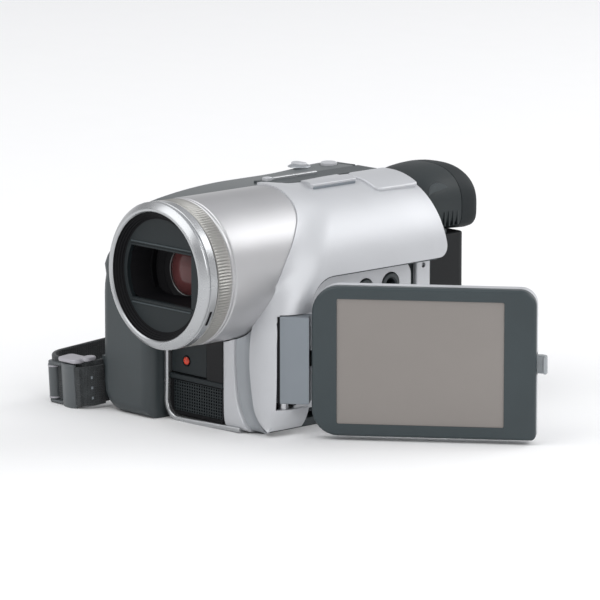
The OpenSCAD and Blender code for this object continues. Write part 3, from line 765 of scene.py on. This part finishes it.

# silver rib and the concave band beside the panel; the band's darker silver is partly a greyer plastic and partly
# painted shade in the hollow
rib_rows, band_rows = [], []
for z, back in ((0.6, 2.2), (1.6, 0.9), (4.0, 0.2), (9, 0), (16, 0), (24, 0), (30, 0), (36, 0), (40, 0)):
    end = min(28.6, column_edge(z))
    fold = end - 6.1
    rib_rows.append([(x, y + back, z) for x, y in (
        (13.2, -34.6), (13.35, -36.3), (14.0, -36.9), (15.4, -36.8), (fold - 0.9, -36.3), (fold - 0.1, -35.9),
        (fold, -34.4))])
    band_rows.append([(x, y + back * k, z) for x, y, k in (
        (fold - 0.4, -35.1, 1), (fold + 0.7, -34.4, 1), (fold + 2.4, -33.8, 0.8), (fold + 4.3, -33.9, 0.7),
        (end - 0.3, -34.3, 0.6))])
for name, rows, mat in (("front_rib", rib_rows, SILVER), ("front_band", band_rows, SILVER_DIM)):
    band = surface(name, patch(rows, 44, 24), 60)
    thicken(band, 0.9)
    cut(band, ring_bore(0.35), solver="MANIFOLD")
    place(band, mat, BODY, "silver_shell")
gap = sweep("column_gap", [(column_edge(z) + 0.1, -33.3, z) for z in (3.4, 4.6, 6, 9, 14, 20, 26, 32, 36, 38)],
            plate(-0.6, -1.0, 0.6, 0.5, 0.1, 2))
black(gap, MATT)


# ---------------------------------------------------------------- top cover and what stands on it
top = pillow("top_shell", outline_between(-36, 4.0, 59.9, 71), -38.6, REAR_Y, 4.0, 0.4, on_y, steps=8)
sliced(top, 1, -34, 36, 2)
sliced(top, 2, 60.5, 66, 0.8)
soften_corner(top)
# the cover falls a little toward the front
for v in top.data.vertices:
    forward = max(0, (-5 - v.co.y / MM) / 32)
    v.co.z -= 2.8 * forward ** 2 * MM * min(1, max(0, (v.co.z / MM - 60) / 8))
cut(top, ring_bore(0.45, -14.2, 128), cylinder("c", (LX, -20, LZ), (LX, 30, LZ), 17.2, 96),
    cylinder("c", (PX, PY, 50), (PX, PY, 80), 2.85, 48), solver="MANIFOLD")
place(top, SLATE_LIGHT, BODY, "slate_shell", "top_cover")
rear = pillow("rear_body", outline_between(-36, 24.6, 0, 71), REAR_Y + 0.2, COVER_Y, 0.2, 0.6, on_y, steps=3)
soften_corner(rear)
cut(rear, block(plate(-9, 50.4, 60, 90, 0.5, 3), 30, 50, on_y),
    block(plate(-29, 16.4, -19, 20.6, 0.3, 3), 30, 50, on_y),
    cylinder("c", (DIAL_X, 30, DIAL_Z), (DIAL_X, 50, DIAL_Z), 5.96, 64))
place(rear, SLATE, BODY, "slate_shell", "rear_cover")


def on_crown(s, y, h):
    """Point at arc length s to the right of the crown, height h above the casing."""
    if s <= 0:
        return (CROWN_X + s, y, CROWN_Z + CROWN_R + h)
    a = s / CROWN_R
    return (CROWN_X + (CROWN_R + h) * math.sin(a), y, CROWN_Z + (CROWN_R + h) * math.cos(a))


def crown_piece(name, outline, h, r, mat, slot, *nodes, lift=None):
    """Thin piece bent over the crown; lift scales its height along s."""
    o = pillow(name, outline, -0.8, h, 0, r, on_z, steps=3)
    xs = [p[0] for p in outline]
    sliced(o, 0, min(xs) + 0.7, max(xs), 1.2)
    for v in o.data.vertices:
        s, y, w = (c / MM for c in v.co)
        if lift and w > 0:
            w *= lift(s)
        v.co = Vector(on_crown(s, y, w)) * MM
    shade(o, 40)
    place(o, mat, BODY, slot, *nodes)


inlay_line = [(-14.5, -8), (-6.2, -8), (-3.5, 1.5), (-0.6, 3.2), (-2.4, 10.5), (-6.0, 18), (-6.0, 35.2), (-14.5, 35.2)]
crown_piece("slate_inlay", inlay_line, 0.18, 0.1, SLATE, "slate_shell")
crown_piece("top_bar", plate(-12.6, -3.2, -11.4, 15.5, 0.5, 4), 0.95, 0.35, RIM, "chrome_barrel")
crown_piece("bar_button", plate(-13.3, -6.0, -11.0, -3.4, 0.5, 4), 1.2, 0.35, SILVER, "silver_shell")
flap_line = [(-3.4, 1.0), (5.0, -2.8), (5.6, -2.4), (5.6, 15.2), (5.0, 15.8), (-5.0, 17.4), (-4.6, 10)]
crown_piece("speaker_flap", flap_line, 1.45, 0.25, SILVER, "silver_shell", "speaker_cover",
            lift=lambda s: 0.35 + 0.65 * smoother((s + 4) / 8))
crown_piece("flap_face", plate(5.4, -2.2, 5.95, 15.0, 0.2, 3), 0.75, 0.1, ARM, "silver_shell")
pad_line = plate(-3.4, 18.2, 12.4, 35.4, (4.0, 2.2, 1.2, 1.2))
crown_piece("top_pad", pad_line, 0.85, 0.55, SILVER, "silver_shell", "top_step")

# zoom lever and photo button
dome = [(3.6 * math.cos(math.radians(a)), 69.2 + 0.9 * math.sin(math.radians(a))) for a in range(0, 86, 12)]
lever = loft("zoom_rocker", [[on_z(p, z) for p in circle(ZX, ZY, r, 48)] for r, z in dome])
place(lever, SILVER_DIM, "zoom_lever", "silver_shell", "zoom_lever")
tab = pillow("zoom_tab", plate(ZX - 2.9, ZY - 1.5, ZX + 2.9, ZY + 1.5, 1.4), 69.6, 70.6, 0.1, 0.5, on_z)
place(tab, SILVER, "zoom_lever", "silver_shell")
place(cylinder("zoom_shaft", (ZX, ZY, 65), (ZX, ZY, 69.6), 1.5), SILVER_DIM, "zoom_lever", "silver_shell")
dish = [(2.6, 66.6), (2.6, 69.9), (2.45, 70.2), (2.1, 70.35), (1.3, 70.2), (0.5, 70.15)]
button = loft("photo_key", [[on_z(p, z) for p in circle(PX, PY, r, 40)] for r, z in dish])
place(button, SILVER, "photo_button", "silver_shell", "photo_button")

# ---------------------------------------------------------------- finder
def finder_ring(y, half, z0, z1, d=0.0):
    """Section of the finder at y, moved in by d: an arched top over a squarer, flat foot."""
    zc = z0 + 0.42 * (z1 - z0)
    ring = []
    for k in range(96):
        c, n = math.cos(2 * math.pi * k / 96), math.sin(2 * math.pi * k / 96)
        power, height = (2.35, z1 - zc) if n >= 0 else (4.2, zc - z0)
        x = math.copysign(abs(c) ** (2 / power), c)
        z = math.copysign(abs(n) ** (2 / power), n)
        ring.append((FX + (half - d) * x, y, zc + height * z * (1 - d / half)))
    return ring


head_line = [(37.4, 12.4, 58.5, 65.6), (37.7, 13.4, 57.4, 66.4), (38.6, 14.4, 56, 67.5), (40.2, 15.1, 54.4, 68.7),
             (42.5, 15.5, 52.7, 69.7), (45.5, 15.7, 51.6, 70.4), (49, 15.9, 51.2, 70.8), (52.2, 16.3, 51.0, 70.9)]
head = loft("finder_head", [finder_ring(*line) for line in head_line], sharp=50)
cut(head, cylinder("c", (FX, EY + 2, FZ), (FX, EY + 14, FZ), 6.55, 64))
place(head, HOOD, "finder", "slate_shell", "finder_housing")
pins = cylinder("finder_pins", (-8.4, EY, EZ), (21.6, EY, EZ), 1.5)
place(pins, HOOD, "finder", "slate_shell")
cup_line = [(52.4, 15.9, 51.4, 70.5), (52.45, 16.3, 51.0, 70.9), (54.6, 16.75, 50.9, 70.8), (56.6, 17.0, 50.85, 70.6),
            (57.9, 17.0, 50.9, 70.5, 0.2)]
cup_line += [(y, 17.0, 50.9, 70.4, d) for y, d in ((58.6, 0.7), (59.0, 1.5), (58.7, 2.3), (57.6, 2.9), (56.0, 3.8),
                                                  (55.2, 5.2), (55.0, 7.2))]
cup = loft("eyecup_shell", [finder_ring(*line) for line in cup_line], sharp=60)
cut(cup, cylinder("c", (FX, EY + 6, FZ), (FX, EY + 16, FZ), 6.9, 64), sharp=50)
place(cup, RUBBER, "finder", "rubber_black", "eyecup")
for k in range(4):
    rib_line = plate(45.2 + 1.75 * k, 53.2, 45.9 + 1.75 * k, 57.8, 0.3, 4)
    rib = pillow(f"finder_rib_{k}", rib_line, FX + 14.6, FX + 16.0 + 0.08 * k, 0, 0.3, on_x, steps=2)
    place(rib, HOOD, "finder", "slate_shell")

# ---------------------------------------------------------------- recess behind the screen
# name, place (y, z), collar radius and bore radius of each jack
JACKS = (("av", (19.9, 39.1), 3.4, 1.75), ("mic", (9.5, 38.9), 2.95, 1.4), ("remote", (-2.3, 38.9), 1.95, 1.0))
jack_plate = pillow("jack_plate", plate(-20.0, 5.6, 28.6, 45.6, (1.0, 2.0, 4.5, 7.5), 8), 25.3, 26.2, 0, 0.3, on_x)
cutters = [cylinder("c", on_x(at, 20), on_x(at, 30), r + 0.35, 48) for _, at, r, _ in JACKS]
cut(jack_plate, *cutters, block(plate(-6.2, 13.2, 12.7, 32.8, 1.2), 20, 40, on_x),
    block(plate(4.5, 7.2, 30.5, 12.0, 0.3), 20, 40, on_x))
place(jack_plate, SILVER, BODY, "light_panel")
for name, at, r, hole in JACKS:
    profile = ((25.0, r), (26.35, r), (26.6, r - 0.3), (26.6, hole + 0.55), (26.2, hole + 0.1), (19.5, hole),
               (19.5, hole + 0.4), (25.0, r - 0.4))
    jack = closed_loft(f"jack_{name}", [[on_x(p, x) for p in circle(*at, radius, 48)] for x, radius in profile], 30)
    black(jack, SLATE, *(["jacks"] if name == "av" else []))
strip = pillow("rear_rail", plate(30.0, 4.4, REAR_Y - 0.1, 46.7, 0.6), 25.4, 27.0, 0, 0.6, on_x)
cut(strip, cylinder("c", (26.3, 33, 43.4), (30, 33, 43.4), 0.8, 32))
place(strip, SILVER, BODY, "silver_shell", "rear_strip")

# ---------------------------------------------------------------- fold-out screen
panel_line = plate(8.9, HZ - 22.5, 75.4, HZ + 22.5, (8, 1.6, 5, 8), 10)
bezel = pillow("screen_bezel", panel_line, -4.0, -0.95, 0.9, 0, on_screen)
cut(bezel, block(plate(16.35, HZ - 18.8, 65.95, HZ + 18.8, 0.5, 4), -9, -3.3, on_screen))
bevel(bezel, 0.12, 2, 50)
place(bezel, BEZEL, "lcd_panel", "slate_shell", "lcd_bezel")
glass = pillow("screen_glass", plate(16.2, HZ - 18.95, 66.1, HZ + 18.95, 0.4, 4), -3.55, -3.2, 0, 0, on_screen)
place(glass, SCREEN, "lcd_panel", "screen_glass", "lcd_screen")
back = pillow("screen_back", panel_line, -0.75, 4.0, 0.25, 1.5, on_screen, steps=7)
cut(back, block(plate(60.8, HZ - 3.4, 90, HZ + 3.4, 0.4), -2.0, 2.3, on_screen))
place(back, SILVER, "lcd_panel", "silver_shell", "lcd_back")
joint_line = pillow("screen_joint", inset(ccw(panel_line), 0.5), -1.0, -0.7, 0, 0, on_screen)
place(joint_line, MATT, "lcd_panel", "slate_shell")
hook = [(71.5, -1.1), (75.8, -1.1), (77.2, -1.5), (77.5, -2.5), (78.4, -2.6), (78.6, -1.2), (78.3, 0.6), (77.0, 1.5),
        (71.5, 1.5)]
latch = pillow("latch_hook", hook, HZ - 2.7, HZ + 2.7, 0.4, 0.4, up_screen, steps=3, sharp=50)
place(latch, PANEL, "lcd_latch", "light_panel", "lcd_latch")
arm_line = [(-0.6, -3.4), (2.0, -3.55), (8.1, -3.55), (8.1, 3.1), (2.9, 3.1)] + arc(0, 0, 3.15, 60, 246, 14)
arm = pillow("hinge_block", arm_line, HZ - 13.4, HZ + 12.9, 0.35, 0.35, up_screen, steps=3, sharp=50)
place(arm, ARM, "lcd_arm", "light_panel", "hinge_arm")
groove = pillow("arm_groove", plate(-1.3, -3.5, -0.55, -3.0, 0.1, 2), HZ - 13.3, HZ + 12.8, 0, 0, up_screen)
place(groove, MATT, "lcd_arm", "light_panel")
neck = cylinder("tilt_shaft", on_screen((7.0, HZ), 0), on_screen((13.5, HZ), 0), 2.35)
place(neck, MATT, "lcd_arm", "light_panel")


# ---------------------------------------------------------------- hand strap, buckle and pad
TILT = math.radians(3.5)


def on_strap(x, y, z):
    """Point of the strap's own frame, which is tilted about its front lug."""
    c, s = math.cos(TILT), math.sin(TILT)
    return (x, -42 + (y + 42) * c - z * s, 0.4 + (y + 42) * s + z * c)


def strap_line(o):
    """Centre line of the strap from above, o further out than the CAD band's."""
    return ([(-37.7 + o, -36.0), (-37.7 + o, -38)] + arc(-41.7, -42, 4 + o, 360, 270, 10)
            + [(-46, -46 - o)] + arc(-50, -39, 7 + o, 270, 180, 12) + [(-57 - o, -25), (-57 - o, -10)]
            + arc(-38, 12, 19 + o, 180, 125, 14) + [(-44.6 - o * 0.8, 31.4), (-39.9 - o, 36), (-39.7 - o, 39)])


def ribbon(name, line, width0, width1, thick):
    """Flat band on its edge along a line seen from above, in the strap's frame, and its length."""
    pts = [Vector(p) for p in line]
    dense = []
    for a, b in zip(pts, pts[1:]):
        n = max(1, int((b - a).length / 1.6))
        dense += [a.lerp(b, k / n) for k in range(n)]
    dense.append(pts[-1])
    rings = []
    for i, p in enumerate(dense):
        t = (dense[min(i + 1, len(dense) - 1)] - dense[max(i - 1, 0)]).normalized()
        n = Vector((-t.y, t.x))
        section = plate(-thick / 2, width0, thick / 2, width1, thick * 0.42, 3)
        rings.append([on_strap(*(p + n * a), z) for a, z in section])
    length = sum((b - a).length for a, b in zip(dense, dense[1:]))
    return loft(name, rings, 60), length


band_piece, band_length = ribbon("hand_strap", strap_line(0.2), 0.9, 14.5, 1.3)
place(band_piece, WEBBING, "cassette_door", "strap_webbing", "strap_band")
CURL = (-41.4, -43.0)                 # centre the strap's turned-back end curls about
tail_line = [(-44.2, -47.3), (-41.2, -48.2), (-39.0, -47.6)] + arc(*CURL, 4.6, 300, 352, 6) + [(-36.7, -40.2)]
tail, tail_length = ribbon("strap_tail", tail_line, 0.6, 13.0, 1.1)
place(tail, WEBBING, "cassette_door", "strap_webbing")
thread = bmesh.new()
c, n = math.cos(math.radians(338)), math.sin(math.radians(338))
px, py = CURL[0] + 5.1 * c, CURL[1] + 5.1 * n
for z in (3.2, 6.4, 9.6):
    ring = []
    for w, k in ((0, 1), (0.2, 1), (0.3, 0.6)):
        corners = [on_strap(px + w * c - k * d * n, py + w * n + k * d * c, z + k * h)
                   for d, h in ((-0.3, -0.4), (0.3, -0.4), (0.3, 0.4), (-0.3, 0.4))]
        ring.append([thread.verts.new(Vector(p) * MM) for p in corners])
    for low, high in zip(ring, ring[1:]):
        for k in range(4):
            thread.faces.new((low[k], low[(k + 1) % 4], high[(k + 1) % 4], high[k]))
    thread.faces.new(ring[0])
    thread.faces.new(ring[-1])
bmesh.ops.recalc_face_normals(thread, faces=thread.faces)
stitches = new_object("strap_stitches", [], [])
thread.to_mesh(stitches.data)
thread.free()
place(stitches, ARM, "cassette_door", "strap_webbing")


def strap_block(name, outline, z0, z1, r, mat, *nodes):
    o = pillow(name, outline, z0, z1, r, r, on_z, steps=4)
    for v in o.data.vertices:
        v.co = Vector(on_strap(*(c / MM for c in v.co))) * MM
    place(o, mat, "cassette_door", "light_panel", *nodes)


face_line = [(-47.0, -46.3), (-47.0, -47.8), (-46.2, -48.8), (-43.6, -49.5), (-41.4, -49.4), (-40.4, -48.8),
             (-40.2, -48.0), (-42.0, -46.3)]
strap_block("buckle_face", face_line, -0.2, 13.7, 0.5, BUCKLE, "strap_buckle")
# lip and ear of the buckle in its plastic lightened with painted light from above
strap_block("buckle_lip", plate(-47.6, -49.2, -38.8, -43.2, (1.2, 2.4, 1.6, 1.6), 6), 14.0, 15.4, 0.55, BUCKLE_PAINTED_LIGHT)
strap_block("buckle_ear", plate(-40.6, -46.4, -37.0, -41.6, 1.7, 8), 14.5, 15.7, 0.5, BUCKLE_PAINTED_LIGHT)
for n, z in enumerate((0.2, 12.2)):
    strap_block(f"buckle_rail_{n}", plate(-54.0, -48.2, -46.4, -44.8, 1.6, 6), z, z + 0.9, 0.3, BUCKLE)
strap_block("buckle_roller", circle(-52.2, -46.4, 2.0, 40), 1.0, 12.4, 0.4, BUCKLE)
# rings on the roller, also in the buckle plastic lightened with painted light
for n, z in enumerate((1.5, 11.3)):
    strap_block(f"roller_ring_{n}", circle(-52.2, -46.4, 2.12, 40), z, z + 0.5, 0.15, BUCKLE_PAINTED_LIGHT)
strap_block("buckle_back", plate(-51.6, -44.5, -41.2, -43.2, 0.5, 4), 0.4, 13.6, 0.3, BUCKLE)


def pad_outline(k):
    """Outline of the hand pad, drawn in toward its middle as k goes to 1."""
    return plate(-20 + 17 * k, 16 + 16.2 * k, 28 - 17 * k, 50 - 16.2 * k, 8 - 7.6 * k, 8)


SIM_FRAMES = 20


def inflate(o, pressure, cap, pinned):
    """Swells a closed cloth form by simulation, no further than cap; its seam is held."""
    group = o.vertex_groups.new(name="seam")
    group.add(pinned, 1.0, "REPLACE")
    rest = [v.co.copy() for v in o.data.vertices]
    mod = o.modifiers.new("cloth", "CLOTH")
    mod.settings.vertex_group_mass = "seam"
    mod.settings.use_pressure = True
    mod.settings.uniform_pressure_force = pressure
    mod.settings.mass = 0.15
    mod.settings.tension_stiffness = 40
    mod.settings.effector_weights.gravity = 0
    mod.point_cache.frame_start, mod.point_cache.frame_end = 1, SIM_FRAMES
    for f in range(1, SIM_FRAMES + 1):
        scene.frame_set(f)
    bake(o, 60)
    for v, r in zip(o.data.vertices, rest):
        d = v.co - r
        if d.length > cap * MM:
            v.co = r + d * (cap * MM / d.length)
    scene.frame_set(1)


SEAM_X = -36.1
steps_in = [0.02 + 0.96 * (k / 13) ** 0.9 for k in range(14)]
rings = [[(-35.75, y, z) for y, z in pad_outline(k)] for k in reversed(steps_in)]
rings.append([(SEAM_X, y, z) for y, z in pad_outline(0)])
rings += [[(-36.5 - 0.35 * smoother(k * 4), y, z) for y, z in pad_outline(k)] for k in steps_in]
pad = loft("hand_pad_cloth", rings, 60)
seam_ring = [v.index for v in pad.data.vertices if abs(v.co.x / MM - SEAM_X) < 0.02]
inflate(pad, 4.0, 0.7, seam_ring)
for v in pad.data.vertices:
    x, y, z = (c / MM for c in v.co)
    if x < -36.3:
        for line in (-8.0, 4.0, 16.0):
            x += 0.45 * math.exp(-((y - line) / 0.8) ** 2)
    v.co.x = min(-35.58, max(-37.9, x)) * MM
mod = pad.modifiers.new("soft", "SUBSURF")
mod.levels = mod.render_levels = 1
bake(pad, 60)
place(pad, PAD, "cassette_door", "pad_fabric", "hand_pad")
rim = [(x - 0.3, w) for x, w in circle(-35.7, 0, -0.55, 8)]
pip_rings = []
for y, z in pad_outline(0):
    d = Vector((y - 4, z - 33)).normalized()
    pip_rings.append([(x, y + d.x * w, z + d.y * w) for x, w in rim])
pip = closed_loft("pad_piping", pip_rings, 60)
place(pip, RUBBER, "cassette_door", "pad_fabric")

# ---------------------------------------------------------------- battery
low, high = box("battery")
cell_line = plate(low[0], low[1], high[0], high[1], (0.8, 0.8, 3, 3), 8)
cell = pillow("battery_pack", cell_line, low[2], high[2] + 0.35, 1.2, 0.5, on_z)
groove = block(plate(-20, high[1] - 0.35, 40, high[1] + 4, 0.1, 2), 36.2, 36.9, on_z)
label = block(plate(-9, 8, 19.5, 32, 1.2), high[1] - 0.25, high[1] + 3, on_y)
cut(cell, groove, label)
bevel(cell, 0.15, 2, 50)
place(cell, BATTERY, "battery", "battery_black", "battery")
tag = pillow("battery_label", plate(-8.6, 8.4, 19.1, 31.6, 1.0), high[1] - 0.3, high[1] - 0.12, 0, 0.05, on_y)
place(tag, SLATE_LIGHT, "battery", "battery_black")

# ---------------------------------------------------------------- dial marks and the CAD nodes that stay in view
for k in range(5):
    a = math.radians(35 + 27 * k)
    tick = pillow(f"dial_mark_{k}", plate(-0.25, 0, 0.25, 1.6, 0.2, 2), 0, 0.15, 0, 0.08, on_y, steps=2)
    at = Vector((DIAL_X + 9.4 * math.cos(a), COVER_Y - 0.08, DIAL_Z + 9.4 * math.sin(a))) * MM
    tick.data.transform(Matrix.Translation(at) @ Matrix.Rotation(math.pi / 2 - a, 4, "Y"))
    place(tick, PRINT, BODY, "slate_shell")

BY_SLOT = {
    "silver_shell": SILVER, "chrome_barrel": CHROME, "slate_shell": SLATE, "black_plastic": BLACK, "light_panel": PANEL,
    "lens_glass": GLASS, "clear_glass": CLEAR, "screen_glass": SCREEN, "lamp_red": LAMP, "steel": STEEL, "brass": BRASS,
    "board_green": GREEN, "rubber_black": RUBBER, "pad_fabric": PAD, "strap_webbing": WEBBING, "battery_black": BATTERY,
}
SPECIAL = {"cassette": TAPE, "side_panel": GRAPHITE, "terminal_cover": PANEL, "lens_tube": MATT, "iris_unit": MATT}
slots = {p["node"]: p["material_slot"] for p in frame["record"]["subparts"]}
for name, node in frame["nodes"].items():
    node.data.materials.clear()
    node.data.materials.append(SPECIAL.get(name, BY_SLOT[slots[name]]))
    if not node.hide_render:
        shade(node, 32)
        bevel(node, 0.2, 2, 32)

# ---------------------------------------------------------------- floor, light and camera
WHITE = material("studio_white", (0.93, 0.93, 0.93), 0.9, vary=0.003, specular=0.0)
FAR = 4000
floor = new_object("floor", [(-FAR, -FAR, 0), (FAR, -FAR, 0), (FAR, FAR, 0), (-FAR, FAR, 0)], [(0, 1, 2, 3)])
floor.data.materials.append(WHITE)
floor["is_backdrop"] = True

world = bpy.data.worlds.new("studio")
scene.world = world
world.use_nodes = True
nt = world.node_tree
where = nt.nodes.new("ShaderNodeTexCoord")
split = nt.nodes.new("ShaderNodeSeparateXYZ")
ramp = nt.nodes.new("ShaderNodeValToRGB")
nt.links.new(where.outputs["Generated"], split.inputs["Vector"])
nt.links.new(split.outputs["Z"], ramp.inputs["Fac"])
stops = ramp.color_ramp.elements
stops[0].color = (1.0, 1.0, 1.0, 1)
stops[1].color = (0.75, 0.77, 0.80, 1)
for at, v in ((0.22, 0.95), (0.36, 0.50), (0.5, 0.46), (0.66, 0.9)):
    stops.new(at).color = (v, v, v * 1.02, 1)
nt.links.new(ramp.outputs["Color"], nt.nodes["Background"].inputs["Color"])
put(nt.nodes["Background"], Strength=0.80)


def lamp(name, at, size, power):
    """Soft light at a place, turned to the middle of the camcorder."""
    data = bpy.data.lights.new(name, "AREA")
    data.shape = "RECTANGLE"
    data.size, data.size_y = size
    data.energy = power
    o = bpy.data.objects.new(name, data)
    scene.collection.objects.link(o)
    o.location = at
    o.rotation_euler = (Vector(at) - Vector((0.0, 0.0, 0.035))).to_track_quat("Z", "Y").to_euler()


lamp("key", (-0.35, -1.0, 1.25), (1.7, 1.3), 12)
lamp("fill", (1.3, -0.2, 0.75), (0.8, 0.8), 5.5)
lamp("rear", (0.4, 1.2, 0.9), (1.2, 0.6), 8)

cam_data = bpy.data.cameras.new("camera")
cam_data.lens = 316.8
cam_data.sensor_width = 36
cam_data.clip_start, cam_data.clip_end = 0.05, 20
camera = bpy.data.objects.new("camera", cam_data)
scene.collection.objects.link(camera)
az, el = math.radians(47.3), math.radians(10.8)
away = Vector((math.sin(az) * math.cos(el), -math.cos(az) * math.cos(el), math.sin(el)))
camera.location = Vector((0.0064, 0.00091, 0.03383)) + 1.6 * away
camera.rotation_euler = away.to_track_quat("Z", "Y").to_euler()
scene.camera = camera
scene.view_settings.view_transform = "Standard"

low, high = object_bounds()
